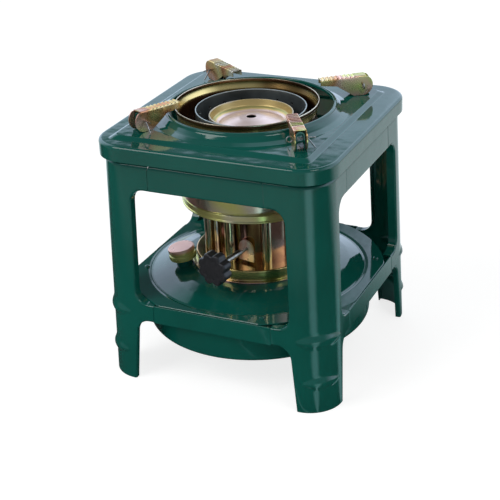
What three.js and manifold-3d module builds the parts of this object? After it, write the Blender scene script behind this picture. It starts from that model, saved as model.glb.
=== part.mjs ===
// Kerosene wick stove: a square enamelled frame with a round tank, a burner and four folding pot supports.
// Millimetres, +Z up. The origin is on the floor under the middle of the frame, and the knob faces -Y.
import * as THREE from 'three';
import { mergeVertices } from 'three/addons/utils/BufferGeometryUtils.js';
import Module from 'manifold-3d';

const wasm = await Module();
wasm.setup();

// Driving dimensions of the frame and the top cover
const coverWidth = 230;
const coverTop = 237.7;
const skirtDepth = 14.8;
const coverCornerRadius = 32.9;
const coverEdgeRadius = 3.5;
const sheetWall = 0.9;
const frameInset = 4;
const frameTopHalf = coverWidth / 2 - frameInset;
const footSpread = 5.3;
const legRadius = 31.5;
const lipDepth = 9;
const lowerLipDepth = 1.4;
const footLipDepth = 5;
const footReach = 1.5;
const windowReach = 5.1;
const armReach = 23.4;
const upperRailDepth = 41;
const windowTop = coverTop - upperRailDepth;
const windowBottom = 81.7;
const lowerRailBottom = 64.3;
const windowCornerRadius = 13;
const filletRunout = 0.4;
const weldGap = 0.3;

// Raised panel and collar of the top cover
const panelBorder = 18;
const panelHalf = coverWidth / 2 - panelBorder;
const panelCornerRadius = 5;
const panelRise = 2.8;
const panelTop = coverTop + panelRise;
const panelSlopeWidth = 2.4;
const collarFootBorder = 6;
const collarFootRadius = panelHalf - collarFootBorder;
const collarWidth = 11.4;
const collarRadius = collarFootRadius - collarWidth;
const collarRise = 8.1;
const collarTop = panelTop + collarRise;
const collarRollWidth = 2.8;
const collarRollDrop = 3;

// Shares of the collar's width and rise at the points of its slope, and of its roll
const collarSlopeShares = [[0.43, 0.2], [0.1, 0.62]];
const collarRollShares = [[0.4, 0], [0.85, 0.6]];
const collarLiningShares = [0.5, 1.5];

// Centre line shared by the round pieces, a little off the middle of the frame
const burnerX = -3.2;
const burnerY = -1.1;

// Fuel tank
const tankBottom = 35.3;
const tankClearance = 5.1;
const tankWall = 1;
const tankEdgeRadius = 5;
const tankFloorRise = 2.2;
const tankFloorBorder = 13.3;
const flangeOverhang = 9.7;
const flangeInset = 1;
const flangeThickness = 1.2;
const gutterWidth = 4.5;
const gutterDepth = 1.6;
const domeTop = 91.9;
const domeSeatRadius = 66;

// Shares of the dome's run and rise at the points of its slope
const domeSlopeShares = [[0.35, 0.5], [0.7, 0.85]];
const domeOpeningRadius = 56;

// Filler neck, seal and screwed cap, on their own leaning axis
const fillerX = -62.8;
const fillerY = -39.9;
const fillerSink = 4.4;
const fillerFoot = domeTop - fillerSink;
const fillerLeanX = 0.14;
const fillerLeanY = 0.07;
const neckRadius = 8;
const neckMouthRadius = 10.9;
const neckMouthHeight = 9;
const neckWall = 1.2;
const neckHeight = 19;
const neckInside = 6;
const sealThickness = 1.2;
const sealGap = 0.3;
const capRadius = 13;
const capWall = 1.6;
const capSkirtLength = 11.8;
const capThreadClearance = 0.5;
const capGrooveDepth = 0.8;
const capRibCount = 30;
const capGrooveTopShare = 0.36;
const capGrooveBottomShare = 0.5;

// Wick gallery, tubes, barrel and burner plate
const galleryFlangeRadius = 63;
const galleryFlangeThickness = 1.5;
const galleryRadius = 59.3;
const galleryTop = 103.9;
const galleryWall = 1;
const galleryChamfer = 1.4;
const galleryOpeningRadius = 37;
const tubeCount = 8;
const tubeCircleRadius = 46;
const tubeRadius = 4.8;
const tubeWall = 0.8;
const firstTubeAngle = -98.4;
const tubeHoleClearance = 0.3;
const barrelRadius = 39;
const barrelWall = 1;
const plateRadius = 68.8;
const plateTop = 164.3;
const plateHeight = 7.3;
const plateBottom = plateTop - plateHeight;
const plateWall = 1;
const plateOpeningRadius = 36;
const plateBead = 0.8;

// Wicks and their lifter
const wickClearance = 0.5;
const wickDrop = 1.3;
const wickTop = plateTop - wickDrop;
const wickRise = 8.7;
const wickBottom = tankBottom + wickRise;
const lifterRadius = 53;
const lifterDrop = 15.9;
const lifterBottom = domeTop - lifterDrop;
const lifterThickness = 1.5;
const lifterGrip = 0.1;
const lifterHubRadius = 30;
const lifterWindowRadius = 6;

// Knob shaft, its bearing plate, pinion and rack
const shaftRise = 15.6;
const shaftHeight = galleryTop + shaftRise;
const shaftTurn = 12;
const shaftPlateX = 5.1;
const shaftPlateY = -43.5;
const shaftRadius = 1.9;
const shaftHubRadius = 3;
const shaftHubStart = 9.6;
const shaftTail = 6;
const bearingClearance = 0.3;
const bearingPlateRadius = 8.6;
const bearingPlateThickness = 1.2;
const bearingPlateFoot = 12.7;
const sleeveWall = 0.9;
const pinionRadius = 4.8;
const pinionTeeth = 10;
const pinionWidth = 6;
const toothHeight = 0.55;
const toothRoot = 0.9;
const toothThickness = 1.15;
const toothTipThickness = 0.7;
const toothFlankShare = 0.6;
const rackDepth = 3;
const rackTeeth = 9;
const rackRise = 11.5;
const pressClearance = 0.15;

// Wick knob
const knobReach = 47.6;
const knobRadius = 16.3;
const knobLobes = 8;
const knobScallop = 2.6;
const knobThickness = 13;
const knobBevel = 1.2;
const knobBoreDepth = 9;
const knobPointsPerLobe = 6;

// Burner drum, perforated flame tubes and dish cap
const drumShiftX = -3.3;
const drumShiftY = -1.6;
const drumRadius = 65;
const drumWall = 0.9;
const drumRise = 2.6;
const drumTop = collarTop + drumRise;
const drumFlareHeight = 12;
const drumFlareWidth = 1;
const drumRimWidth = 1.5;
const drumRimHeight = 3.4;
const outerFlameRadius = 52;
const outerFlameDrop = 3.6;
const outerFlameTop = collarTop - outerFlameDrop;
const innerFlameRadius = 38.6;
const flameWall = 0.9;
const dishRadius = 39.6;
const dishDrop = 9.3;
const dishTop = collarTop - dishDrop;
const dishWallHeight = 4.3;
const dishSeat = dishTop - dishWallHeight;
const dishWall = 1;
const dishLipWidth = 1.2;
const dishStepWidth = 5.1;
const dishStepRadius = dishRadius - dishStepWidth;
const dishStepDepth = 2.6;
const dishStep = dishSeat - dishStepDepth;
const dishSlopeWidth = 4;
const dishFloorRadius = dishStepRadius - dishSlopeWidth;
const dishFloor = dishStep - dishStepDepth;
const dishCrownHeight = 6.2;
const dishCrown = dishFloor + dishCrownHeight;
const dishHoleRadius = 4.7;

// Shares of the width and height of the dish's crown at the points of its slope, from the floor inwards
const dishCrownShares = [[0.65, 0.5], [0.3, 0.88]];

// Shares of the rim's height at the points of the drum's hem, from its top
const drumRimShares = [0.75, 0.25, 0.3];

// Pot supports, measured from their pivots
const supportBorder = 18;
const supportCircleRadius = collarFootRadius + supportBorder;
const supportPivotRise = 10.3;
const supportPivotHeight = panelTop + supportPivotRise;
const supportWidth = 11.5;
const supportWall = 0.9;
const supportReach = 40.5;
const supportTopInner = 8.2;
const supportTopOuter = 9.3;
const supportTopLength = 3.5;
const supportEndRadius = 9.9;
const supportTipDepth = 5.5;
const supportHeel = 8.5;
const supportKinkReach = 25;
const supportKinkHeight = 0.8;
const pinHoleRadius = 1.6;
const bracketHalfWidth = 4.3;
const bracketWall = 1.3;
const bracketLength = 7;
const bracketTop = 7.3;
const bracketFootLength = 14;
const bracketFootThickness = 1.2;

// Split pins
const pinRadius = 1.2;
const pinWireRadius = 0.65;
const pinEyeRadius = 2.6;
const pinShankOverhang = 0.9;
const pinLegLength = 11;
const pinShortLegLength = 7;
const pinLegAngle = 52;

// How far round its pivot a support's outer end is rounded, in quarter turns
const supportRoundTurns = 1.7;

// Each loose support's turn away from the diagonal, in degrees, anticlockwise from the front right corner
const supportTurns = [-13.5, -10.5, 12.5, 19.5];

// Counts of facets and small tolerances
const roundSides = 36;
const smallSides = 12;
const wireSides = 6;
const filletSteps = 2;
const cutOverrun = 1;
const mergeDistance = 0.0001;

// Shares along the side of a loop of the top cover, from the middle of a side to the corner
const octantShares = [0, 0.25, 0.5, 0.7, 0.8, 0.87, 0.94];

const quarterTurn = Math.PI / 2;
const toRadians = Math.PI / 180;

// Finishes
const enamel = () => new THREE.MeshStandardMaterial({ color: 0x17604f, roughness: 0.2, metalness: 0 });
const zinc = () => new THREE.MeshStandardMaterial({ color: 0xb7a867, roughness: 0.25, metalness: 0.9 });
const darkSteel = () => new THREE.MeshStandardMaterial({ color: 0x394650, roughness: 0.45, metalness: 0.7 });
const brightSteel = () => new THREE.MeshStandardMaterial({ color: 0xa9adb0, roughness: 0.3, metalness: 0.9 });
const blackPlastic = () => new THREE.MeshStandardMaterial({ color: 0x24252a, roughness: 0.5, metalness: 0 });
const cotton = () => new THREE.MeshStandardMaterial({ color: 0xd9cfb8, roughness: 0.95, metalness: 0 });
const rubber = () => new THREE.MeshStandardMaterial({ color: 0x2a2624, roughness: 0.8, metalness: 0 });

// Signed volume of an indexed mesh, which tells whether its faces point outwards
function signedVolume(positions, indices) {
  let sum = 0;
  const a = new THREE.Vector3();
  const b = new THREE.Vector3();
  const c = new THREE.Vector3();
  for (let i = 0; i < indices.length; i += 3) {
    a.fromBufferAttribute(positions, indices[i]);
    b.fromBufferAttribute(positions, indices[i + 1]);
    c.fromBufferAttribute(positions, indices[i + 2]);
    sum += a.dot(b.cross(c));
  }
  return sum / 6;
}

// Closed mesh with shared vertices, no collapsed faces and its faces pointing outwards
function closedMesh(geometry) {
  const bare = geometry.clone();
  bare.deleteAttribute('normal');
  bare.deleteAttribute('uv');
  const merged = mergeVertices(bare, mergeDistance);
  const source = merged.index.array;
  const indices = [];
  for (let i = 0; i < source.length; i += 3) {
    const [a, b, c] = [source[i], source[i + 1], source[i + 2]];
    if (a !== b && b !== c && c !== a) {
      indices.push(a, b, c);
    }
  }
  if (signedVolume(merged.attributes.position, indices) < 0) {
    indices.reverse();
  }
  merged.setIndex(indices);
  return merged;
}

function solidOf(geometry) {
  const mesh = closedMesh(geometry);
  return new wasm.Manifold(new wasm.Mesh({
    numProp: 3,
    vertProperties: Float32Array.from(mesh.attributes.position.array),
    triVerts: Uint32Array.from(mesh.index.array),
  }));
}

function geometryOf(solid) {
  const mesh = solid.getMesh();
  const geometry = new THREE.BufferGeometry();
  geometry.setAttribute('position', new THREE.BufferAttribute(mesh.vertProperties, 3));
  geometry.setIndex(new THREE.BufferAttribute(mesh.triVerts, 1));
  return geometry;
}

function cut(geometry, cutters) {
  const body = cutters.reduce((left, cutter) => left.subtract(solidOf(cutter)), solidOf(geometry));
  return geometryOf(body);
}

// The part of a solid that lies inside another
function trimmed(geometry, keeper) {
  return geometryOf(solidOf(geometry).intersect(solidOf(keeper)));
}

function join(geometries) {
  const [first, ...others] = geometries.map(solidOf);
  return geometryOf(others.reduce((body, other) => body.add(other), first));
}

// Solid of revolution about Z from [radius, height] points
function turned(points, sides = roundSides) {
  const profile = points.map(([radius, height]) => new THREE.Vector2(radius, height));
  return new THREE.LatheGeometry(profile, sides).rotateX(quarterTurn);
}

// Ring with a rectangular section
function turnedRing(inner, outer, bottom, top, sides = roundSides) {
  const points = [[inner, bottom], [outer, bottom], [outer, top], [inner, top], [inner, bottom]];
  return turned(points, sides);
}

// Round bar along Z
function bar(radius, bottom, top, sides = smallSides) {
  return turned([[0, bottom], [radius, bottom], [radius, top], [0, top]], sides);
}

function extruded(outline, depth) {
  const shape = new THREE.Shape(outline.map(([x, y]) => new THREE.Vector2(x, y)));
  return new THREE.ExtrudeGeometry(shape, { depth, bevelEnabled: false });
}

// Faces across a sheet's section, whose second half of points comes back beside the first half
function sheetCap(count) {
  const faces = [];
  for (let i = 0; i < count / 2 - 1; i += 1) {
    const beside = count - 1 - i;
    faces.push([i, i + 1, beside - 1], [i, beside - 1, beside]);
  }
  return faces;
}

// Skin through rings of equal count: a closed hoop, or a bent sheet's section closed at both ends
function loft(rings, capped) {
  const count = rings[0].length;
  const positions = rings.flat().flatMap((point) => [point.x, point.y, point.z]);
  const indices = [];
  const lastBand = capped ? rings.length - 1 : rings.length;
  for (let band = 0; band < lastBand; band += 1) {
    const low = band * count;
    const high = ((band + 1) % rings.length) * count;
    for (let i = 0; i < count; i += 1) {
      const next = (i + 1) % count;
      indices.push(low + i, low + next, high + next);
      indices.push(low + i, high + next, high + i);
    }
  }
  if (capped) {
    const last = (rings.length - 1) * count;
    sheetCap(count).forEach(([a, b, c]) => indices.push(c, b, a, last + a, last + b, last + c));
  }
  const geometry = new THREE.BufferGeometry();
  geometry.setAttribute('position', new THREE.Float32BufferAttribute(positions, 3));
  geometry.setIndex(indices);
  return geometry;
}

const stove = new THREE.Group();

function addMesh(group, name, geometry, material) {
  const mesh = new THREE.Mesh(closedMesh(geometry), material);
  mesh.name = name;
  group.add(mesh);
  return mesh;
}

const burner = new THREE.Group();
burner.position.set(burnerX, burnerY, 0);
stove.add(burner);

// The frame flares towards the floor: half its outside width at a height
const skirtBottom = coverTop - skirtDepth;
function frameHalfAt(height) {
  return frameTopHalf + footSpread * (1 - height / skirtBottom);
}

const coverUnderside = coverTop - sheetWall;

// One leg's section at a height: an outside path round the corner with a lip at each end, and back inside
function legRing(height, reach, lip) {
  const half = frameHalfAt(height);
  const centre = half - legRadius;
  const edge = centre - reach;
  const ring = [[edge, lip - half], [edge, -half]];
  for (let step = 0; step <= wireSides; step += 1) {
    const angle = (step / wireSides - 1) * quarterTurn;
    ring.push([centre + legRadius * Math.cos(angle), -centre + legRadius * Math.sin(angle)]);
  }
  ring.push([half, -edge], [half - lip, -edge]);
  ring.push([half - lip, -edge - sheetWall], [half - sheetWall, -edge - sheetWall]);
  for (let step = wireSides; step >= 0; step -= 1) {
    const angle = (step / wireSides - 1) * quarterTurn;
    const radius = legRadius - sheetWall;
    ring.push([centre + radius * Math.cos(angle), -centre + radius * Math.sin(angle)]);
  }
  ring.push([edge + sheetWall, sheetWall - half], [edge + sheetWall, lip - half]);
  return ring.map(([x, y]) => new THREE.Vector3(x, y, height));
}

// Rings along a round corner of a window or a cut-out, from the upright edge to the level one or back
function filletRings(levelEdge, up, lip, rising) {
  const rings = [];
  for (let step = 0; step <= filletSteps; step += 1) {
    const angle = (step / filletSteps) * quarterTurn;
    const drop = windowCornerRadius * (1 - Math.sin(angle)) + filletRunout;
    const reach = windowReach + windowCornerRadius * (1 - Math.cos(angle));
    rings.push(legRing(levelEdge - up * drop, reach, lip));
  }
  return rising ? rings : rings.reverse();
}

function legGeometry() {
  const rings = [
    legRing(0, footReach, footLipDepth),
    ...filletRings(lowerRailBottom, 1, footLipDepth, true),
    legRing(lowerRailBottom, armReach, sheetWall),
    legRing(windowBottom, armReach, sheetWall),
    ...filletRings(windowBottom, -1, lipDepth, false),
    ...filletRings(windowTop, 1, lipDepth, true),
    legRing(windowTop, armReach, sheetWall),
    legRing(coverUnderside, armReach, sheetWall),
  ];
  return loft(rings, true);
}

// A rail between two leg arms on the front: a leaning strip with one lip turned in at the window
function railGeometry(plainEdge, lipEdge, lip) {
  const inward = Math.sign(plainEdge - lipEdge) * sheetWall;
  const plainDepth = frameHalfAt(plainEdge);
  const lipEnd = frameHalfAt(lipEdge) - lip;
  const section = [
    [plainDepth, plainEdge],
    [frameHalfAt(lipEdge), lipEdge],
    [lipEnd, lipEdge],
    [lipEnd, lipEdge + inward],
    [frameHalfAt(lipEdge) - sheetWall, lipEdge + inward],
    [plainDepth - sheetWall, plainEdge],
  ];
  const endRing = (side) => section.map(([depth, height]) => {
    const reach = frameHalfAt(height) - legRadius - armReach - weldGap;
    return new THREE.Vector3(side * reach, -depth, height);
  });
  return loft([endRing(-1), endRing(1)], true);
}

const sideNames = ['front', 'right', 'back', 'left'];
const legNames = ['leg_front_right', 'leg_back_right', 'leg_back_left', 'leg_front_left'];

function addFrame() {
  legNames.forEach((name, index) => {
    addMesh(stove, name, legGeometry(), enamel()).rotation.z = index * quarterTurn;
  });
  sideNames.forEach((side, index) => {
    const upper = railGeometry(coverUnderside, windowTop, lipDepth);
    addMesh(stove, `upper_rail_${side}`, upper, enamel()).rotation.z = index * quarterTurn;
    const lower = railGeometry(lowerRailBottom, windowBottom, lowerLipDepth);
    addMesh(stove, `lower_rail_${side}`, lower, enamel()).rotation.z = index * quarterTurn;
  });
}

// Directions from the centre of the cover that every one of its loops shares
const loopAngles = [];
for (let octant = 0; octant < 8; octant += 1) {
  const shares = octant % 2 === 0 ? octantShares : octantShares.slice(1).reverse().map((share) => 1 - share);
  const ordered = octant % 2 === 0 ? shares : [0, ...octantShares.slice(1).reverse().map((s) => 1 - s)];
  ordered.forEach((share) => loopAngles.push(((octant + share) * quarterTurn) / 2));
}

// Distance from the centre to a rounded square in a direction
function squareReach(half, radius, angle) {
  const folded = Math.abs(((angle + quarterTurn / 2) % quarterTurn) - quarterTurn / 2);
  const straight = half - radius;
  if (Math.tan(folded) * half <= straight) {
    return half / Math.cos(folded);
  }
  const along = straight * (Math.cos(folded) + Math.sin(folded));
  return along + Math.sqrt(along ** 2 - 2 * straight ** 2 + radius ** 2);
}

function squareLoop(half, radius, height, x, y) {
  return loopAngles.map((angle) => {
    const reach = squareReach(half, radius, angle);
    return new THREE.Vector3(x + reach * Math.cos(angle), y + reach * Math.sin(angle), height);
  });
}

function roundLoop(radius, height) {
  return loopAngles.map((angle) => new THREE.Vector3(
    burnerX + radius * Math.cos(angle),
    burnerY + radius * Math.sin(angle),
    height,
  ));
}

function addTopCover() {
  const half = coverWidth / 2;
  const softened = coverEdgeRadius * (1 - Math.SQRT1_2);
  const border = (inset, height) => squareLoop(half - inset, coverCornerRadius - inset, height, 0, 0);
  const panel = (inset, height) => squareLoop(panelHalf - inset, panelCornerRadius, height, burnerX, burnerY);
  const slope = collarSlopeShares.map(([width, rise]) => (
    [collarRadius + collarWidth * width, panelTop + collarRise * rise]));
  const roll = collarRollShares.map(([width, drop]) => (
    [collarRadius - collarRollWidth * width, collarTop - sheetWall * drop]));
  const [liningWidth, liningDrop] = collarLiningShares;
  const outside = [
    border(0, skirtBottom),
    border(0, coverTop - coverEdgeRadius),
    border(softened, coverTop - softened),
    border(coverEdgeRadius, coverTop),
    panel(0, coverTop),
    panel(panelSlopeWidth, panelTop),
    roundLoop(collarFootRadius, panelTop),
    ...slope.map(([radius, height]) => roundLoop(radius, height)),
    roundLoop(collarRadius, collarTop - sheetWall),
    ...roll.map(([radius, height]) => roundLoop(radius, height)),
    roundLoop(collarRadius - collarRollWidth, collarTop - collarRollDrop),
  ];
  const inside = [
    roundLoop(collarRadius - collarRollWidth + sheetWall, collarTop - collarRollDrop),
    roundLoop(collarRadius - collarRollWidth * liningWidth, collarTop - sheetWall * liningDrop),
    ...slope.reverse().map(([radius, height]) => roundLoop(radius - sheetWall, height - sheetWall / 2)),
    roundLoop(collarFootRadius, panelTop - sheetWall),
    panel(panelSlopeWidth + sheetWall / 2, panelTop - sheetWall),
    panel(sheetWall / 2, coverUnderside),
    border(coverEdgeRadius, coverUnderside),
    border(sheetWall, coverTop - coverEdgeRadius),
    border(sheetWall, skirtBottom),
  ];
  addMesh(stove, 'top_cover', loft([...outside, ...inside], false), enamel());
}

// The tank's flange rests on the lips of the lower rails and hangs the tank between them
const flangeTop = windowBottom + flangeThickness;
const flangeHalf = frameHalfAt(windowBottom) - flangeInset;
const tankRadius = frameHalfAt(windowBottom) - tankClearance;
const flangeRadius = tankRadius + flangeOverhang;
const tankFloorRadius = tankRadius - tankFloorBorder;

function addTankShell() {
  const floor = tankBottom + tankFloorRise;
  const softened = tankEdgeRadius * (1 - Math.SQRT1_2);
  const innerRadius = tankRadius - tankWall;
  const points = [
    [0, floor],
    [tankFloorRadius, floor],
    [tankFloorRadius + tankFloorRise, tankBottom],
    [tankRadius - tankEdgeRadius, tankBottom],
    [tankRadius - softened, tankBottom + softened],
    [tankRadius, tankBottom + tankEdgeRadius],
    [tankRadius, windowBottom],
    [innerRadius, windowBottom],
    [innerRadius, tankBottom + tankEdgeRadius],
    [innerRadius - softened, tankBottom + softened + tankWall],
    [innerRadius - tankEdgeRadius, tankBottom + tankWall],
    [tankFloorRadius + tankFloorRise, tankBottom + tankWall],
    [tankFloorRadius, floor + tankWall],
    [0, floor + tankWall],
  ];
  addMesh(burner, 'tank_shell', turned(points), enamel());
}

// Axis of the filler, leaning away from the burner
const fillerAxis = new THREE.Vector3(-fillerLeanX, -fillerLeanY, 1).normalize();
const fillerTurn = new THREE.Quaternion().setFromUnitVectors(new THREE.Vector3(0, 0, 1), fillerAxis);
const filler = new THREE.Group();
filler.position.set(fillerX, fillerY, fillerFoot);
filler.quaternion.copy(fillerTurn);
stove.add(filler);

// A round flange with four straight sides along the rails, a gutter inside it, and the dome
function addTankTop() {
  const gutterOuter = tankRadius - tankWall - gutterDepth;
  const gutterInner = gutterOuter - gutterWidth;
  const rise = domeTop - flangeTop;
  const run = gutterInner - domeSeatRadius;
  const slope = domeSlopeShares.map(([across, up]) => [gutterInner - run * across, flangeTop + rise * up]);
  const upper = [
    [flangeRadius, flangeTop],
    [gutterOuter + gutterDepth, flangeTop],
    [gutterOuter, flangeTop - gutterDepth],
    [gutterInner + gutterDepth, flangeTop - gutterDepth],
    [gutterInner, flangeTop],
    ...slope,
    [domeSeatRadius, domeTop],
    [domeOpeningRadius, domeTop],
  ];
  const lower = upper.slice(2).reverse().map(([radius, height]) => [radius, height - tankWall]);
  const points = [
    [flangeRadius, windowBottom],
    ...upper,
    ...lower,
    [gutterOuter + gutterDepth, windowBottom],
    [flangeRadius, windowBottom],
  ];
  const between = new THREE.BoxGeometry(flangeHalf * 2, flangeHalf * 2, domeTop * 2);
  between.translate(-burnerX, -burnerY, 0);
  const neckHole = bar(neckRadius + tubeHoleClearance, -neckHeight, neckHeight, smallSides);
  neckHole.applyQuaternion(fillerTurn);
  neckHole.translate(fillerX - burnerX, fillerY - burnerY, fillerFoot);
  addMesh(burner, 'tank_top', cut(trimmed(turned(points), between), [neckHole]), enamel());
}

function addFiller() {
  const neckRim = neckHeight;
  const mouthFoot = neckRim - neckMouthHeight;
  const neck = turned([
    [neckRadius - neckWall, -neckInside],
    [neckRadius, -neckInside],
    [neckRadius, mouthFoot - neckWall],
    [neckMouthRadius, mouthFoot],
    [neckMouthRadius, neckRim],
    [neckMouthRadius - neckWall, neckRim],
    [neckMouthRadius - neckWall, mouthFoot],
    [neckRadius - neckWall, mouthFoot - neckWall],
    [neckRadius - neckWall, -neckInside],
  ], smallSides * 2);
  addMesh(filler, 'filler_neck', neck, enamel());
  const sealBottom = neckRim + sealGap;
  const sealTop = sealBottom + sealThickness;
  addMesh(filler, 'cap_seal', bar(neckMouthRadius, sealBottom, sealTop, smallSides * 2), rubber());
  const roof = sealTop + sealGap;
  const capTop = roof + capWall;
  const skirtEnd = capTop - capSkirtLength;
  const bore = neckMouthRadius + capThreadClearance;
  const grooveTop = capTop - capSkirtLength * capGrooveTopShare;
  const grooveBottom = capTop - capSkirtLength * capGrooveBottomShare;
  const points = [
    [0, capTop],
    [capRadius - capGrooveDepth, capTop],
    [capRadius, capTop - capGrooveDepth],
    [capRadius, grooveTop],
    [capRadius - capGrooveDepth, grooveTop - capGrooveDepth],
    [capRadius - capGrooveDepth, grooveBottom],
    [capRadius, grooveBottom - capGrooveDepth],
    [capRadius, skirtEnd + capGrooveDepth],
    [capRadius - capGrooveDepth, skirtEnd],
    [bore, skirtEnd],
    [bore, roof],
    [0, roof],
  ];
  addMesh(filler, 'filler_cap', turned(points, capRibCount), zinc());
}

function tubePlace(index) {
  const angle = (firstTubeAngle + (index * 360) / tubeCount) * toRadians;
  return [tubeCircleRadius * Math.cos(angle), tubeCircleRadius * Math.sin(angle)];
}

const tubeBore = tubeRadius - tubeWall;
const wickRadius = tubeBore - wickClearance;

function holesAtTubes(radius, bottom, top) {
  return Array.from({ length: tubeCount }, (unused, index) => {
    const [x, y] = tubePlace(index);
    return bar(radius, bottom - cutOverrun, top + cutOverrun, smallSides).translate(x, y, 0);
  });
}

function addGallery() {
  const innerRadius = galleryRadius - galleryWall;
  const ceiling = galleryTop - galleryWall;
  const flangeTop = domeTop + galleryFlangeThickness;
  const points = [
    [innerRadius, domeTop],
    [galleryFlangeRadius, domeTop],
    [galleryFlangeRadius, flangeTop],
    [galleryRadius, flangeTop],
    [galleryRadius, galleryTop - galleryChamfer],
    [galleryRadius - galleryChamfer, galleryTop],
    [galleryOpeningRadius, galleryTop],
    [galleryOpeningRadius, ceiling],
    [innerRadius, ceiling],
    [innerRadius, domeTop],
  ];
  const holes = holesAtTubes(tubeBore, ceiling, galleryTop);
  addMesh(burner, 'wick_gallery', cut(turned(points), holes), zinc());
}

const plateUnderside = plateTop - plateWall;

function addTubes() {
  for (let index = 0; index < tubeCount; index += 1) {
    const [x, y] = tubePlace(index);
    const tube = turnedRing(tubeBore, tubeRadius, galleryTop, plateTop, smallSides);
    addMesh(burner, `wick_tube_${index + 1}`, tube, zinc()).position.set(x, y, 0);
    const wick = bar(wickRadius, wickBottom, wickTop, wireSides);
    addMesh(burner, `wick_${index + 1}`, wick, cotton()).position.set(x, y, 0);
  }
}

function addBurnerPlate() {
  const skirtInner = plateRadius - plateWall;
  const points = [
    [skirtInner, plateBottom],
    [plateRadius + plateBead, plateBottom],
    [plateRadius + plateBead, plateBottom + plateWall],
    [plateRadius, plateBottom + plateWall * 2],
    [plateRadius, plateTop - plateWall],
    [plateRadius - plateWall, plateTop],
    [plateOpeningRadius, plateTop],
    [plateOpeningRadius, plateUnderside],
    [skirtInner, plateUnderside],
    [skirtInner, plateBottom],
  ];
  const holes = holesAtTubes(tubeRadius + tubeHoleClearance, plateUnderside, plateTop);
  addMesh(burner, 'burner_plate', cut(turned(points), holes), zinc());
}

// Frame of the knob shaft: X across it, Y along it inwards, Z up, from the middle of the bearing plate's hole
const shaftFrame = new THREE.Group();
shaftFrame.position.set(shaftPlateX, shaftPlateY, shaftHeight);
shaftFrame.rotation.z = -shaftTurn * toRadians;
stove.add(shaftFrame);
shaftFrame.updateMatrix();

// Where the burner's centre line stands in the shaft's frame
const axisInShaftFrame = new THREE.Vector3(burnerX, burnerY, shaftHeight)
  .applyMatrix4(shaftFrame.matrix.clone().invert());
const pinionPlace = axisInShaftFrame.y;

// A solid made along Z, laid along the shaft
function alongShaft(geometry) {
  return geometry.rotateX(-quarterTurn);
}

function addBarrel() {
  const barrel = turnedRing(barrelRadius - barrelWall, barrelRadius, galleryTop, plateUnderside);
  const hole = alongShaft(bar(shaftRadius + bearingClearance, -barrelWall, pinionPlace));
  hole.applyMatrix4(shaftFrame.matrix).translate(-burnerX, -burnerY, 0);
  addMesh(burner, 'burner_barrel', cut(barrel, [hole]), zinc());
}

const lifterTop = lifterBottom + lifterThickness;

function addLifterPlate() {
  const plate = bar(lifterRadius, lifterBottom, lifterTop, roundSides);
  const windows = Array.from({ length: tubeCount / 2 }, (unused, index) => {
    const angle = ((index + 0.5) * 720) / tubeCount * toRadians;
    const window = bar(lifterWindowRadius, lifterBottom - cutOverrun, lifterTop + cutOverrun);
    return window.translate(lifterHubRadius * Math.cos(angle), lifterHubRadius * Math.sin(angle), 0);
  });
  const holes = holesAtTubes(wickRadius + lifterGrip, lifterBottom, lifterTop);
  addMesh(burner, 'lifter_plate', cut(plate, [...holes, ...windows]), darkSteel());
}

const toothPitch = (2 * Math.PI * pinionRadius) / pinionTeeth;

function pinionGeometry() {
  const rootRadius = pinionRadius - toothRoot;
  const tipRadius = pinionRadius + toothHeight;
  const outline = [];
  for (let tooth = 0; tooth < pinionTeeth; tooth += 1) {
    const middle = (tooth * 2 * Math.PI) / pinionTeeth;
    const rootHalf = (toothThickness + toothRoot * toothFlankShare) / 2 / pinionRadius;
    const tipHalf = toothTipThickness / 2 / tipRadius;
    const rising = [[rootRadius, -rootHalf], [tipRadius, -tipHalf]];
    const falling = [[tipRadius, tipHalf], [rootRadius, rootHalf]];
    [...rising, ...falling].forEach(([radius, turn]) => {
      outline.push([radius * Math.cos(middle + turn), radius * Math.sin(middle + turn)]);
    });
  }
  const gear = extruded(outline, pinionWidth).translate(0, 0, -pinionWidth / 2);
  const bore = bar(shaftRadius + pressClearance, -pinionWidth, pinionWidth);
  return cut(gear, [bore]);
}

function rackGeometry() {
  const pitchLine = -pinionRadius;
  const root = pitchLine - toothRoot;
  const tip = pitchLine + toothHeight;
  const back = root - rackDepth;
  const rackBottom = lifterTop - shaftHeight;
  const outline = [[back, rackBottom], [root, rackBottom]];
  const rootHalf = (toothThickness + toothRoot * toothFlankShare) / 2;
  const lowest = -Math.floor((rackTeeth * 2) / 3) + 0.5;
  for (let tooth = 0; tooth < rackTeeth; tooth += 1) {
    const middle = (lowest + tooth) * toothPitch;
    outline.push([root, middle - rootHalf], [tip, middle - toothTipThickness / 2]);
    outline.push([tip, middle + toothTipThickness / 2], [root, middle + rootHalf]);
  }
  outline.push([root, rackRise], [back, rackRise]);
  const rack = extruded(outline, pinionWidth).translate(0, 0, -pinionWidth / 2);
  return rack.rotateX(quarterTurn);
}

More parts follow.
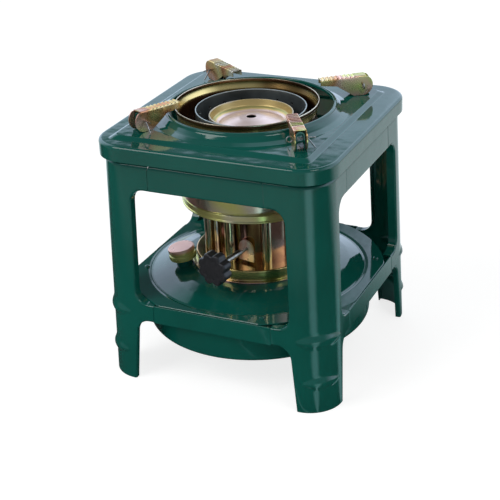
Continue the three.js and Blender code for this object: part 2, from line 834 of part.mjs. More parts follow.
// Upright plate with a sleeve behind it that reaches the barrel round the shaft
function bearingPlateGeometry() {
  const outline = [[-bearingPlateRadius, -bearingPlateFoot], [bearingPlateRadius, -bearingPlateFoot]];
  for (let step = 0; step <= smallSides; step += 1) {
    const angle = (step / smallSides) * Math.PI;
    outline.push([bearingPlateRadius * Math.cos(angle), bearingPlateRadius * Math.sin(angle)]);
  }
  const plate = extruded(outline, bearingPlateThickness).rotateX(quarterTurn);
  plate.translate(0, bearingPlateThickness, 0);
  const bore = shaftRadius + bearingClearance;
  const sleeveRadius = bore + sleeveWall;
  const nearestOffset = Math.abs(axisInShaftFrame.x) - sleeveRadius;
  const barrelReach = Math.sqrt((barrelRadius + bearingClearance) ** 2 - nearestOffset ** 2);
  const sleeveEnd = axisInShaftFrame.y - barrelReach;
  const sleeve = bar(sleeveRadius, 0, sleeveEnd);
  const hole = bar(bore, -cutOverrun, sleeveEnd + cutOverrun);
  return cut(join([plate, alongShaft(sleeve)]), [alongShaft(hole)]);
}

function knobGeometry() {
  const outline = [];
  const count = knobLobes * knobPointsPerLobe;
  for (let step = 0; step < count; step += 1) {
    const angle = (step / count) * 2 * Math.PI;
    const notch = (0.5 + 0.5 * Math.cos(angle * knobLobes)) ** 2;
    const radius = knobRadius - knobBevel - knobScallop * notch;
    outline.push(new THREE.Vector2(radius * Math.cos(angle), radius * Math.sin(angle)));
  }
  const body = new THREE.ExtrudeGeometry(new THREE.Shape(outline), {
    depth: knobThickness - 2 * knobBevel,
    bevelThickness: knobBevel,
    bevelSize: knobBevel,
    bevelSegments: 2,
    steps: 1,
  });
  body.translate(0, 0, knobBevel - knobThickness / 2);
  const boreBottom = knobThickness / 2 - knobBoreDepth;
  const bore = bar(shaftHubRadius + pressClearance, boreBottom, knobThickness);
  return cut(body, [bore]);
}

function addWickDrive() {
  const shaftStart = knobThickness / 2 - knobBoreDepth + pressClearance - knobReach;
  const shaft = turned([
    [0, shaftStart],
    [shaftHubRadius, shaftStart],
    [shaftHubRadius, -shaftHubStart],
    [shaftRadius, -shaftHubStart],
    [shaftRadius, pinionPlace + shaftTail],
    [0, pinionPlace + shaftTail],
  ], smallSides);
  addMesh(shaftFrame, 'wick_shaft', alongShaft(shaft), brightSteel());
  addMesh(shaftFrame, 'shaft_plate', bearingPlateGeometry(), zinc());
  const pinion = addMesh(shaftFrame, 'pinion', alongShaft(pinionGeometry()), brightSteel());
  pinion.position.y = pinionPlace;
  addMesh(shaftFrame, 'lifter_rack', rackGeometry(), brightSteel()).position.y = pinionPlace;
  const knob = alongShaft(knobGeometry());
  addMesh(shaftFrame, 'wick_knob', knob, blackPlastic()).position.y = -knobReach;
}

function addBurnerDrum() {
  const inner = drumRadius - drumWall;
  const crest = drumRadius + drumFlareWidth;
  const rim = crest + drumRimWidth;
  const flareBottom = drumTop - drumFlareHeight;
  const [hemLow, hemHigh, lining] = drumRimShares.map((share) => drumTop - drumRimHeight * share);
  const points = [
    [inner, plateTop],
    [drumRadius, plateTop],
    [drumRadius, flareBottom],
    [crest, drumTop - drumRimHeight],
    [rim, hemLow],
    [rim, hemHigh],
    [crest + drumRimWidth / 2, drumTop],
    [crest - drumWall / 2, drumTop],
    [crest - drumWall, lining],
    [inner, flareBottom],
    [inner, plateTop],
  ];
  addMesh(burner, 'burner_drum', turned(points), zinc()).position.set(drumShiftX, drumShiftY, 0);
}

function addFlameTubes() {
  const outer = turnedRing(outerFlameRadius - flameWall, outerFlameRadius, plateTop, outerFlameTop);
  addMesh(burner, 'flame_tube_outer', outer, darkSteel());
  const inner = turnedRing(innerFlameRadius - flameWall, innerFlameRadius, plateTop, dishSeat);
  addMesh(burner, 'flame_tube_inner', inner, darkSteel());
}

function addDishCap() {
  const seatInner = innerFlameRadius - flameWall * 2;
  const crownWidth = dishFloorRadius - dishHoleRadius;
  const crown = dishCrownShares.map(([across, up]) => (
    [dishHoleRadius + crownWidth * across, dishFloor + dishCrownHeight * up]));
  const points = [
    [seatInner, dishSeat],
    [dishRadius, dishSeat],
    [dishRadius, dishTop],
    [dishRadius - dishLipWidth, dishTop],
    [dishStepRadius + dishWall, dishStep + dishWall],
    [dishStepRadius, dishStep],
    [dishFloorRadius + dishWall, dishFloor],
    [dishFloorRadius, dishFloor],
    ...crown,
    [dishHoleRadius, dishCrown],
    [dishHoleRadius, dishCrown - dishWall],
    ...crown.reverse().map(([radius, height]) => [radius, height - dishWall]),
    [dishFloorRadius, dishFloor - dishWall],
    [dishFloorRadius + dishWall, dishFloor - dishWall],
    [dishStepRadius + dishWall, dishStep - dishWall],
    [seatInner, dishSeat],
  ];
  addMesh(burner, 'dish_cap', turned(points), zinc());
}

// Side view of a pot support about its pivot: X outwards, Y up
function supportOutline() {
  const outline = [
    [-supportReach, supportTopInner],
    [-supportReach, supportTopInner - supportTipDepth],
    [-supportKinkReach, supportKinkHeight],
    [-supportHeel, -supportEndRadius],
  ];
  for (let step = 0; step <= wireSides; step += 1) {
    const angle = ((step / wireSides) * supportRoundTurns - 1) * quarterTurn;
    outline.push([supportEndRadius * Math.cos(angle), supportEndRadius * Math.sin(angle)]);
  }
  outline.push([supportTopLength, supportTopOuter]);
  return outline;
}

function supportGeometry() {
  const body = extruded(supportOutline(), supportWidth).translate(0, 0, -supportWidth / 2);
  const overrunX = supportReach + cutOverrun;
  const slope = (supportTopOuter - supportTopInner) / (supportReach + supportTopLength);
  const ceiling = (x) => supportTopInner - supportWall + slope * (x + supportReach);
  const low = -supportEndRadius - cutOverrun;
  const channel = extruded([
    [-overrunX, ceiling(-overrunX)],
    [-overrunX, low],
    [supportEndRadius + cutOverrun, low],
    [supportEndRadius + cutOverrun, ceiling(supportEndRadius + cutOverrun)],
  ], supportWidth - 2 * supportWall).translate(0, 0, supportWall - supportWidth / 2);
  const pinHole = bar(pinHoleRadius, -supportWidth, supportWidth);
  return cut(body, [channel, pinHole]).rotateX(quarterTurn);
}

function bracketGeometry() {
  const footTop = panelTop - supportPivotHeight + bracketFootThickness;
  const archShape = (halfWidth, bottom) => {
    const shoulder = bracketTop - bracketHalfWidth;
    const outline = [[-halfWidth, bottom], [halfWidth, bottom]];
    for (let step = 0; step <= wireSides; step += 1) {
      const angle = (step / wireSides) * Math.PI;
      outline.push([halfWidth * Math.cos(angle), shoulder + halfWidth * Math.sin(angle)]);
    }
    return outline;
  };
  const low = footTop - bracketFootThickness;
  const arch = extruded(archShape(bracketHalfWidth, low), bracketLength);
  arch.translate(0, 0, -bracketLength / 2);
  const inner = extruded(archShape(bracketHalfWidth - bracketWall, footTop), bracketLength * 2);
  inner.translate(0, 0, -bracketLength);
  const foot = new THREE.BoxGeometry(bracketHalfWidth * 2, bracketFootThickness, bracketFootLength);
  foot.translate(0, low + bracketFootThickness / 2, 0);
  const body = join([arch, foot]);
  const pinHole = bar(pinHoleRadius, -supportWidth, supportWidth).rotateY(quarterTurn);
  return cut(body, [inner, pinHole]).rotateX(quarterTurn).rotateZ(quarterTurn);
}

// A split pin along Y: its eye on the clockwise side, one leg straight on and one bent down
function splitPinGeometry() {
  const shankEnd = supportWidth / 2 + pinShankOverhang;
  const shank = bar(pinRadius, -shankEnd, shankEnd).rotateX(-quarterTurn);
  const eye = new THREE.TorusGeometry(pinEyeRadius, pinWireRadius, wireSides, smallSides);
  eye.rotateY(quarterTurn).translate(0, -shankEnd - pinEyeRadius + pinWireRadius, 0);
  const straightLeg = bar(pinWireRadius, -pinRadius, pinShortLegLength, wireSides).rotateX(-quarterTurn);
  straightLeg.translate(0, shankEnd, pinRadius - pinWireRadius);
  const bentLeg = bar(pinWireRadius, -pinRadius, pinLegLength, wireSides);
  bentLeg.rotateX(-(90 + pinLegAngle) * toRadians).translate(0, shankEnd, pinWireRadius - pinRadius);
  return join([shank, eye, straightLeg, bentLeg]);
}

function addPotSupports() {
  supportTurns.forEach((turn, index) => {
    const corner = new THREE.Group();
    corner.rotation.z = (index - 0.5) * quarterTurn;
    stove.add(corner);
    const pivot = new THREE.Group();
    pivot.position.set(supportCircleRadius, 0, supportPivotHeight);
    pivot.rotation.z = turn * toRadians;
    corner.add(pivot);
    addMesh(pivot, `pot_support_${index + 1}`, supportGeometry(), zinc());
    addMesh(pivot, `support_bracket_${index + 1}`, bracketGeometry(), enamel());
    addMesh(pivot, `split_pin_${index + 1}`, splitPinGeometry(), brightSteel());
  });
}

addTopCover();
addFrame();
addTankShell();
addTankTop();
addFiller();
addGallery();
addTubes();
addBarrel();
addBurnerPlate();
addLifterPlate();
addWickDrive();
addBurnerDrum();
addFlameTubes();
addDishCap();
addPotSupports();

export default stove;
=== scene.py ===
import math

import bmesh
import bpy
from mathutils import Matrix, Vector


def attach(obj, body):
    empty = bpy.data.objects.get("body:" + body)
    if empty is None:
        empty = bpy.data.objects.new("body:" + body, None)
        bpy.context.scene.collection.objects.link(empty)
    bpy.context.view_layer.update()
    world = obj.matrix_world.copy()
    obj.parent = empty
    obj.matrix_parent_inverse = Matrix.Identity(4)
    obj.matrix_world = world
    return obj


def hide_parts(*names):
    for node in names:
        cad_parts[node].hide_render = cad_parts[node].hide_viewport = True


bl_info = {
    "name": "Kerosene wick stove",
    "version": (1, 0, 0),
    "blender": (4, 5, 0),
    "location": "3D View > Sidebar > Stove",
    "description": "Builds the finished looks of a kerosene wick stove round its packed frame",
    "category": "Object",
}

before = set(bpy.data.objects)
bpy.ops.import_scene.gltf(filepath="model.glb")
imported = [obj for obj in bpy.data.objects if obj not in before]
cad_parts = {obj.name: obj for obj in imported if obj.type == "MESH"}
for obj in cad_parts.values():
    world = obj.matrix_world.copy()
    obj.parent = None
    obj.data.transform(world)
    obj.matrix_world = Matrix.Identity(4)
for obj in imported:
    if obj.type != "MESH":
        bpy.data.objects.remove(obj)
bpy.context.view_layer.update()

# Every size below is in millimetres, and MM brings it to metres
MM = 0.001
TURN = 2 * math.pi
QUARTER = math.pi / 2
SIDES = 144
POLE = 1e-4

# The square frame
COVER_HALF = 115
COVER_TOP = 237.7
SKIRT_BOTTOM = 222.9
COVER_CORNER = 32.9
SHEET = 0.9
FRAME_TOP_HALF = 111
FOOT_HALF = 116.3
LEG_RADIUS = 31.5
LIP_DEPTH = 9
LOWER_LIP_DEPTH = 1.4
LOWER_LIP_ROLL = 0.5
FOOT_LIP_DEPTH = 5
FOOT_REACH = 1.5
WINDOW_REACH = 5.1
ARM_REACH = 23.4
WINDOW_TOP = 196.7
WINDOW_BOTTOM = 81.7
LOWER_RAIL_BOTTOM = 64.3
WINDOW_CORNER = 13
EDGE_ROLL = 1.8
ARM_GAP = 0.2
ARM_ROLL = 0.05
SHOULDER = 5.5
LEG_NAMES = ("leg_front_right", "leg_back_right", "leg_back_left", "leg_front_left")
SIDE_NAMES = ("front", "right", "back", "left")

# Middle height, half spread in degrees and half height of each bead pressed into a leg's corner
LEG_BEADS = ((72, 44, 9.5), (30, 36, 8.5))

# The raised panel and collar of the cover
PANEL_HALF = 97
PANEL_CORNER = 5
PANEL_TOP = 240.5
PANEL_SLOPE = 2.4
COLLAR_FOOT = 91
COLLAR_RADIUS = 79.6
COLLAR_TOP = 248.6

# The round pieces stand on one centre line, a little off the middle of the frame
BURNER = Matrix.Translation((-3.2, -1.1, 0))
DRUM = Matrix.Translation((-6.5, -2.7, 0))
TANK_RADIUS = 109.26
TANK_BOTTOM = 35.3
FLANGE_RADIUS = 123.5
FLANGE_HALF = 113.36
FLANGE_TOP = 82.9
RIVET_PLACE = Vector((102.6, 46, FLANGE_TOP - 0.1))
DOME_TOP = 91.9
GALLERY_TOP = 103.9
PLATE_BOTTOM = 157
PLATE_UNDER = 163.3
PLATE_TOP = 164.3
DRUM_TOP = 251.2
WICKS = 8
WICK_CIRCLE = 46
FIRST_WICK = math.radians(-98.4)
TUBE_RADIUS = 4.8
TUBE_SIDES = 32

# A cell of the perforated sheet, in squares, and where its holes are
CELL_COLUMNS = 6
CELL_ROWS = 4
HOLE_SQUARES = ((1, 0), (4, 2))
HOLE_SIDES = 16
RIM_BAND = 3.2
CELL_HEIGHT = 20

# The filler leans away from the burner, and the shaft runs across the frame
FILLER_AXIS = Vector((-0.14, -0.07, 1)).normalized()
FILLER_LEAN = Vector((0, 0, 1)).rotation_difference(FILLER_AXIS).to_matrix().to_4x4()
FILLER = Matrix.Translation((-62.8, -39.9, 87.5)) @ FILLER_LEAN
CAP_TOP = 22.4
SHAFT = Matrix.Translation((5.1, -43.5, 119.5)) @ Matrix.Rotation(math.radians(-12), 4, "Z")
# Along the shaft Z points inwards
ALONG_SHAFT = SHAFT @ Matrix.Rotation(-QUARTER, 4, "X")
KNOB_PLACE = -47.6
KNOB_RADIUS = 16.3
KNOB_SCALLOP = 2.6
KNOB_THICKNESS = 13

# The folding pot supports, by their pivots
SUPPORT_TURNS = (-13.5, -10.5, 12.5, 19.5)
SUPPORT_CIRCLE = 109
SUPPORT_PIVOT = 250.8

# The camera, in degrees and metres, and the strips of light that only gloss sees on the floor
CAMERA_AZIMUTH = 25.59
CAMERA_ELEVATION = 25.95
CAMERA_ROLL = -2.73
CAMERA_PLACE = Vector((0.464834, -0.994927, 0.631995))
CAMERA_LENS = 89.76
# Where each strip starts, its direction and its strength
FLOOR_STRIPS = (((0.102, -0.111), (0.65, -0.76), 1.5), ((0.116, -0.088), (0.605, 0.8), 0.8))
WHITE = (1, 1, 1)


class StoveSizes(bpy.types.PropertyGroup):
    """Sizes that a user may change"""

    bead_height: bpy.props.FloatProperty(
        name="Bead height", description="How far the leg beads stand out", default=0.0024, unit="LENGTH")
    enamel_waviness: bpy.props.FloatProperty(
        name="Enamel waviness", description="Depth of the enamel's ripple", default=0.035, subtype="FACTOR")
    hole_radius: bpy.props.FloatProperty(
        name="Hole radius", description="Radius of a flame tube's holes", default=0.0013, unit="LENGTH")
    hole_pitch: bpy.props.FloatProperty(
        name="Hole pitch", description="Distance between holes round a tube", default=0.018, unit="LENGTH")
    cap_ribs: bpy.props.IntProperty(
        name="Cap ribs", description="Ribs round the filler cap", default=48, min=3)
    knob_lobes: bpy.props.IntProperty(
        name="Knob lobes", description="Lobes round the wick knob", default=8, min=3)
    ridge_count: bpy.props.IntProperty(
        name="Support ridges", description="Ridges across a pot support", default=8, min=1)
    ridge_height: bpy.props.FloatProperty(
        name="Ridge height", description="Height of a support's ridges", default=0.0012, unit="LENGTH")


class StoveColours(bpy.types.PropertyGroup):
    """Colours that a user may change"""

    enamel: bpy.props.FloatVectorProperty(
        name="Enamel", description="Colour of the enamel", subtype="COLOR", default=(0.004, 0.088, 0.068))
    zinc_gold: bpy.props.FloatVectorProperty(
        name="Zinc gold", description="Yellow of the plating", subtype="COLOR", default=(0.66, 0.5, 0.2))
    zinc_olive: bpy.props.FloatVectorProperty(
        name="Zinc olive", description="Green of the plating", subtype="COLOR", default=(0.5, 0.5, 0.17))
    zinc_pale: bpy.props.FloatVectorProperty(
        name="Zinc pale", description="Palest plating", subtype="COLOR", default=(0.74, 0.66, 0.52))
    zinc_rose: bpy.props.FloatVectorProperty(
        name="Zinc rose", description="Pink of the plating", subtype="COLOR", default=(0.88, 0.52, 0.42))
    zinc_blush: bpy.props.FloatVectorProperty(
        name="Zinc blush", description="Pale pink plating", subtype="COLOR", default=(0.88, 0.69, 0.63))
    zinc_brown: bpy.props.FloatVectorProperty(
        name="Zinc brown", description="Darkest plating", subtype="COLOR", default=(0.3, 0.13, 0.06))
    tube_steel: bpy.props.FloatVectorProperty(
        name="Tube steel", description="Colour of the tubes", subtype="COLOR", default=(0.085, 0.1, 0.105))
    knob: bpy.props.FloatVectorProperty(
        name="Knob", description="Colour of the knob", subtype="COLOR", default=(0.018, 0.018, 0.021))
    cotton: bpy.props.FloatVectorProperty(
        name="Cotton", description="Colour of the wicks", subtype="COLOR", default=(0.7, 0.62, 0.48))


class Graph:
    """Adds nodes to one tree and joins their sockets"""

    def __init__(self, tree):
        self.tree = tree

    def put(self, node, key, value):
        if isinstance(value, bpy.types.NodeSocket):
            self.tree.links.new(value, node.inputs[key])
        else:
            node.inputs[key].default_value = value

    def add(self, kind, inputs=None, **settings):
        node = self.tree.nodes.new(kind)
        for key, value in settings.items():
            setattr(node, key, value)
        for key, value in (inputs or {}).items():
            self.put(node, key, value)
        return node

    def first(self, kind, inputs=None, **settings):
        """The first output of a new node"""
        return self.add(kind, inputs, **settings).outputs[0]

    def math(self, operation, *values):
        return self.first("ShaderNodeMath", dict(enumerate(values)), operation=operation)

    def vector(self, operation, *values):
        """A vector, or a number where the operation makes one"""
        made = self.add("ShaderNodeVectorMath", dict(enumerate(values)), operation=operation)
        return made.outputs["Value" if operation in ("DOT_PRODUCT", "DISTANCE") else "Vector"]

    def parts(self, vector):
        return self.add("ShaderNodeSeparateXYZ", {"Vector": vector}).outputs

    def point(self, **parts):
        return self.first("ShaderNodeCombineXYZ", parts)

    def point_round(self, angle, reach, height):
        """The point at an angle and a reach from the Z axis"""
        across = self.math("MULTIPLY", reach, self.math("COSINE", angle))
        along = self.math("MULTIPLY", reach, self.math("SINE", angle))
        return self.point(X=across, Y=along, Z=height)

    def remap(self, value, low, high, to_low=0, to_high=1):
        return self.first("ShaderNodeMapRange", {
            "Value": value, "From Min": low, "From Max": high, "To Min": to_low, "To Max": to_high})

    def tinted(self, factor, *stops):
        """A ramp of colours, each by its place, its name or its value, and how far it is dimmed"""
        colours = bpy.context.scene.stove_colours
        node = self.add("ShaderNodeValToRGB", {"Fac": factor})
        elements = node.color_ramp.elements
        while len(elements) < len(stops):
            elements.new(0.5)
        for element, (share, tint, dim) in zip(elements, stops):
            colour = getattr(colours, tint) if isinstance(tint, str) else tint
            element.position = share
            element.color = (*(channel * dim for channel in colour), 1)
        return node.outputs["Color"]


# Finishes

class Surface(Graph):
    """The graph of a new material, with its shader and the place in the object's own space"""

    def __init__(self, name, colour, roughness, metallic, **sockets):
        self.material = bpy.data.materials.new(name)
        self.material.use_nodes = True
        super().__init__(self.material.node_tree)
        self.shader = self.tree.nodes["Principled BSDF"]
        self.place = self.add("ShaderNodeTexCoord").outputs["Object"]
        if isinstance(colour, str):
            colour = getattr(bpy.context.scene.stove_colours, colour)
        self.dress(Base_Color=(*colour, 1), Roughness=roughness, Metallic=metallic, **sockets)

    def dress(self, **sockets):
        for key, value in sockets.items():
            self.put(self.shader, key.replace("_", " "), value)

    def noise(self, scale, detail=3, stretch=(1, 1, 1), distortion=0, shift=0):
        place = self.first("ShaderNodeMapping", {
            "Vector": self.place, "Location": (shift, shift, shift), "Scale": stretch})
        return self.add("ShaderNodeTexNoise", {
            "Vector": place, "Scale": scale, "Detail": detail, "Distortion": distortion}).outputs["Fac"]

    def wandering(self, value, reach, scale, detail=3):
        """A value whose level lines meander"""
        return self.math("MULTIPLY_ADD", self.noise(scale, detail), reach, value)

    def smeared(self, low, high, scale, **settings):
        self.dress(Roughness=self.remap(self.noise(scale, 4, **settings), 0, 1, low, high))

    def bumpy(self, height, strength, distance=0.0003):
        self.dress(Normal=self.first("ShaderNodeBump", {
            "Height": height, "Strength": strength, "Distance": distance}))


def enamel_finish():
    made = Surface("Green enamel", "enamel", 0.08, 0, IOR=1.52)
    made.dress(Base_Color=made.tinted(made.noise(14, 2), (0.3, "enamel", 0.88), (0.7, "enamel", 1.12)))
    made.smeared(0.03, 0.12, 60)
    made.bumpy(made.noise(75, 1), bpy.context.scene.stove_sizes.enamel_waviness * 6, 0.0006)
    return made.material


def zinc_finish(name, tints, scale, rough, grain, metallic=0.95, stretch=(1, 1, 1), shift=0):
    """Yellow-passivated plating whose tints, by place, name and dimming, drift over each piece"""
    def make():
        made = Surface(name, "zinc_gold", rough[0], metallic)
        stops = [(share, "zinc_" + tint, dim) for share, tint, dim in tints]
        made.dress(Base_Color=made.tinted(made.noise(scale, 2, stretch, 0.6, shift), *stops))
        made.smeared(*rough, scale * 4, stretch=stretch, shift=shift)
        made.bumpy(made.noise(240), grain)
        return made.material
    return make


def dish_finish():
    """Pale rose inside the dish's floor, and gold up its wall, painted with light: a brighter gold ring low
    on the wall as a painted highlight, a darker olive ring above it as a painted dark reflection, and a
    pale band at the rim as a painted highlight
    """
    made = Surface("Dish zinc plating", "zinc_blush", 0.3, 0.6)
    middle = BURNER.translation * MM
    flat = made.vector("MULTIPLY", made.place, (1, 1, 0))
    away = made.vector("DISTANCE", flat, (middle.x, middle.y, 0))
    # Painted light across the wall: the brighter gold ring is a painted highlight, the darker olive ring a
    # painted dark reflection, and the pale band at the rim a painted highlight
    made.dress(Base_Color=made.tinted(
        made.remap(made.wandering(away, 0.004, 30), 0.0345, 0.0412),
        (0, "zinc_blush", 1), (0.16, "zinc_gold", 1.2), (0.32, "zinc_olive", 0.75),
        (0.55, "zinc_gold", 0.9), (0.85, "zinc_gold", 0.8), (0.96, "zinc_pale", 0.9)))
    made.smeared(0.3, 0.4, 60)
    made.bumpy(made.noise(120), 0.03)
    return made.material


def drum_finish():
    """Pale rose and green low on the drum, and round its rim bands of painted light: dark brown low down as
    painted shade, a bright gold band as a painted highlight, a dark olive band above it as a painted dark
    reflection, and a pale top edge as a painted highlight
    """
    made = Surface("Drum zinc plating", "zinc_gold", 0.2, 0.85)
    height = made.parts(made.place)["Z"]
    low = made.tinted(
        made.noise(13, 2, (1, 1, 0.6), 0.6),
        (0.36, "zinc_rose", 1.05), (0.46, "zinc_pale", 1.1), (0.54, "zinc_olive", 1.6),
        (0.62, "zinc_rose", 1.1))
    # Painted light round the rim: dark brown low down is painted shade, the bright gold band a painted
    # highlight, the dark olive band above it a painted dark reflection, and the pale top edge a painted
    # highlight
    high = made.tinted(
        made.remap(made.wandering(height, 0.003, 22, 2), 0.24, 0.253),
        (0, "zinc_brown", 0.5), (0.12, "zinc_brown", 0.8), (0.3, "zinc_gold", 1.3),
        (0.52, "zinc_gold", 1.1), (0.7, "zinc_olive", 0.3), (0.88, "zinc_brown", 0.8),
        (0.96, "zinc_pale", 0.9))
    # Painted shade in patches over the rim's bands
    shade = made.tinted(
        made.noise(9, 1), (0.42, (0.3, 0.24, 0.2), 1), (0.5, (0.85, 0.85, 0.8), 1), (0.58, WHITE, 1))
    mixed = made.add("ShaderNodeMix", {
        "Factor": made.remap(height, 0.2, 0.23), "A": low, "B": made.vector("MULTIPLY", high, shade)},
        data_type="RGBA")
    made.dress(Base_Color=mixed.outputs["Result"])
    made.smeared(0.16, 0.28, 50)
    made.bumpy(made.noise(240), 0.1)
    return made.material


def gallery_finish():
    """Green-yellow round the gallery, with its foot flange rose and its top brown"""
    made = Surface("Gallery zinc plating", "zinc_olive", 0.2, 0.95)
    height = made.wandering(made.parts(made.place)["Z"], 0.007, 26, 2)
    made.dress(Base_Color=made.tinted(
        made.remap(height, 0.0945, 0.1095),
        (0.12, "zinc_rose", 0.85), (0.2, "zinc_olive", 0.85), (0.55, "zinc_olive", 1),
        (0.8, "zinc_gold", 1), (0.95, "zinc_brown", 0.8)))
    made.smeared(0.12, 0.26, 60)
    made.bumpy(made.noise(240), 0.1)
    return made.material


def cap_finish():
    """Pale rose on the cap's top, and gold with olive down its side"""
    made = Surface("Cap zinc plating", "zinc_rose", 0.25, 0.5)
    up = made.vector("DOT_PRODUCT", made.place, tuple(FILLER_AXIS))
    top = FILLER_AXIS.dot(FILLER @ Vector((0, 0, CAP_TOP))) * MM
    made.dress(Base_Color=made.tinted(
        made.remap(made.wandering(up, 0.0024, 45), top - 0.0035, top + 0.0012),
        (0, "zinc_olive", 1), (0.35, "zinc_gold", 1), (0.7, "zinc_rose", 0.85), (1, "zinc_rose", 1)))
    made.smeared(0.2, 0.38, 80)
    made.bumpy(made.noise(300), 0.15)
    return made.material


def tube_steel_finish():
    """Heat-stained steel, with a pale band painted round the top edge of the taller tube as its highlight
    """
    made = Surface("Blued steel", "tube_steel", 0.36, 0.4)
    # Painted highlight: a pale band round the top edge of the taller tube
    rim = made.remap(made.parts(made.place)["Z"], 0.2444, 0.2448)
    made.dress(Base_Color=made.tinted(
        made.math("ADD", made.noise(30), rim),
        (0.35, "tube_steel", 0.6), (0.65, "tube_steel", 1.5), (1, "tube_steel", 6)))
    made.bumpy(made.noise(400), 0.2, 0.0002)
    return made.material


def grained_finish(name, colour, roughness, metallic, scale, detail, stops, strength, distance=0.0003):
    """A material whose colour and bump follow one noise"""
    def make():
        made = Surface(name, colour, roughness, metallic)
        grain = made.noise(scale, detail)
        made.dress(Base_Color=made.tinted(grain, *stops))
        made.bumpy(grain, strength, distance)
        return made.material
    return make


def cotton_finish():
    made = Surface("Cotton", "cotton", 0.95, 0)
    weave = made.add("ShaderNodeTexWave", {
        "Vector": made.place, "Scale": 260, "Distortion": 3, "Detail": 2}).outputs["Fac"]
    made.dress(Base_Color=made.tinted(weave, (0.1, "cotton", 0.6), (0.8, "cotton", 1)))
    made.bumpy(weave, 0.6, 0.0005)
    return made.material


FINISHES = {
    "enamel": enamel_finish,
    "zinc": zinc_finish("Zinc plating", (
        (0.36, "pale", 1), (0.46, "olive", 1.5), (0.56, "gold", 1.3), (0.66, "olive", 1.6)),
        15, (0.12, 0.28), 0.12, 0.7),
    "zinc_drawn": zinc_finish("Drawn zinc plating", (
        (0.34, "brown", 0.6), (0.43, "brown", 1.1), (0.5, "gold", 0.7), (0.55, "brown", 0.7),
        (0.63, "rose", 0.8)), 50, (0.1, 0.2), 0.06, stretch=(1, 1, 0.04)),
    "zinc_tube": zinc_finish("Tube zinc plating", (
        (0.36, "gold", 1), (0.46, "pale", 1), (0.54, "rose", 0.9), (0.6, "pale", 0.9), (0.68, "gold", 1)),
        30, (0.1, 0.22), 0.06, stretch=(1, 1, 0.12)),
    "zinc_plate": zinc_finish("Plate zinc plating", (
        (0.38, "gold", 1.1), (0.46, "pale", 1), (0.52, "rose", 0.95), (0.6, "blush", 1)),
        34, (0.24, 0.34), 0.02, 0.7, shift=0.21),
    "zinc_pressed": zinc_finish("Pressed zinc plating", (
        (0.32, "olive", 1.5), (0.4, "pale", 1), (0.48, "gold", 1.1), (0.55, "brown", 2.2), (0.6, "rose", 1),
        (0.68, "olive", 1.3)), 24, (0.2, 0.34), 0.03, 0.85),
    "zinc_drum": drum_finish,
    "zinc_gallery": gallery_finish,
    "zinc_dish": dish_finish,
    "zinc_cap": cap_finish,
    "dark_steel": tube_steel_finish,
    "bright_steel": grained_finish(
        "Bright steel", (0.4, 0.39, 0.37), 0.36, 1, 300, 3,
        ((0.3, (0.19, 0.19, 0.18), 1), (0.7, (0.42, 0.41, 0.39), 1)), 0.15, 0.0002),
    "black_plastic": grained_finish(
        "Moulded black plastic", "knob", 0.42, 0, 900, 2, ((0.3, "knob", 0.8), (0.7, "knob", 1.3)), 0.35),
    "cotton": cotton_finish,
    "seal_rubber": grained_finish(
        "Seal rubber", (0.02, 0.018, 0.016), 0.8, 0, 500, 2,
        ((0.3, (0.012, 0.01, 0.009), 1), (0.7, (0.03, 0.027, 0.024), 1)), 0.3),
}
made_finishes = {}


def finish(name):
    if name not in made_finishes:
        made_finishes[name] = FINISHES[name]()
    return made_finishes[name]


# Shapes are pairs of points and faces, in millimetres

def rounded(corners, steps):
    """An outline with an arc at each corner that gives a radius as its third number"""
    points = []
    for index, corner in enumerate(corners):
        here = Vector(corner[:2])
        if len(corner) < 3:
            points.append(here)
            continue
        before = Vector(corners[index - 1][:2]) - here
        after = Vector(corners[(index + 1) % len(corners)][:2]) - here
        reach = corner[2] / math.tan(before.angle(after) / 2)
        start = here + before.normalized() * min(reach, before.length * 0.49)
        end = here + after.normalized() * min(reach, after.length * 0.49)
        for step in range(steps + 1):
            share = step / steps
            points.append(start.lerp(here, share).lerp(here.lerp(end, share), share))
    return points


def numbered(rings):
    """The points of equal rings in one list, and the numbers of each ring"""
    count = len(rings[0])
    rows = [list(range(row * count, (row + 1) * count)) for row in range(len(rings))]
    return [point for ring in rings for point in ring], rows


def joined_rows(rows, hoop=False):
    """Faces between rows of point numbers; a row may repeat one number as a pole"""
    faces = []
    for low, high in zip(rows, rows[1:] + rows[:1] if hoop else rows[1:]):
        for k in range(len(low)):
            after = (k + 1) % len(low)
            face = tuple(dict.fromkeys((low[k], low[after], high[after], high[k])))
            if len(face) > 2:
                faces.append(face)
    return faces


def turned(corners, steps=5, sides=SIDES):
    """A solid of revolution about Z from an outline of radii and heights"""
    points, rows = [], []
    for radius, height in rounded(corners, steps):
        if radius < POLE:
            rows.append([len(points)] * sides)
            points.append(Vector((0, 0, height)))
            continue
        rows.append(list(range(len(points), len(points) + sides)))
        for k in range(sides):
            angle = k * TURN / sides
            points.append(Vector((radius * math.cos(angle), radius * math.sin(angle), height)))
    return points, joined_rows(rows, corners[0][0] > POLE)


def hooped(rings):
    """A skin through rings of points whose last ring meets the first"""
    points, rows = numbered(rings)
    return points, joined_rows(rows, True)


def capped(rings):
    """A skin through rings of points, with one face at each end"""
    points, rows = numbered(rings)
    return points, joined_rows(rows) + [tuple(rows[0]), tuple(rows[-1])]


def bent_sheet(rings):
    """A skin through rings that run along one side of a sheet and back along the other"""
    points, rows = numbered(rings)
    faces = joined_rows(rows)
    for row in (rows[0], rows[-1]):
        faces += [(row[k], row[k + 1], row[-2 - k], row[-1 - k]) for k in range(len(row) // 2 - 1)]
    return points, faces


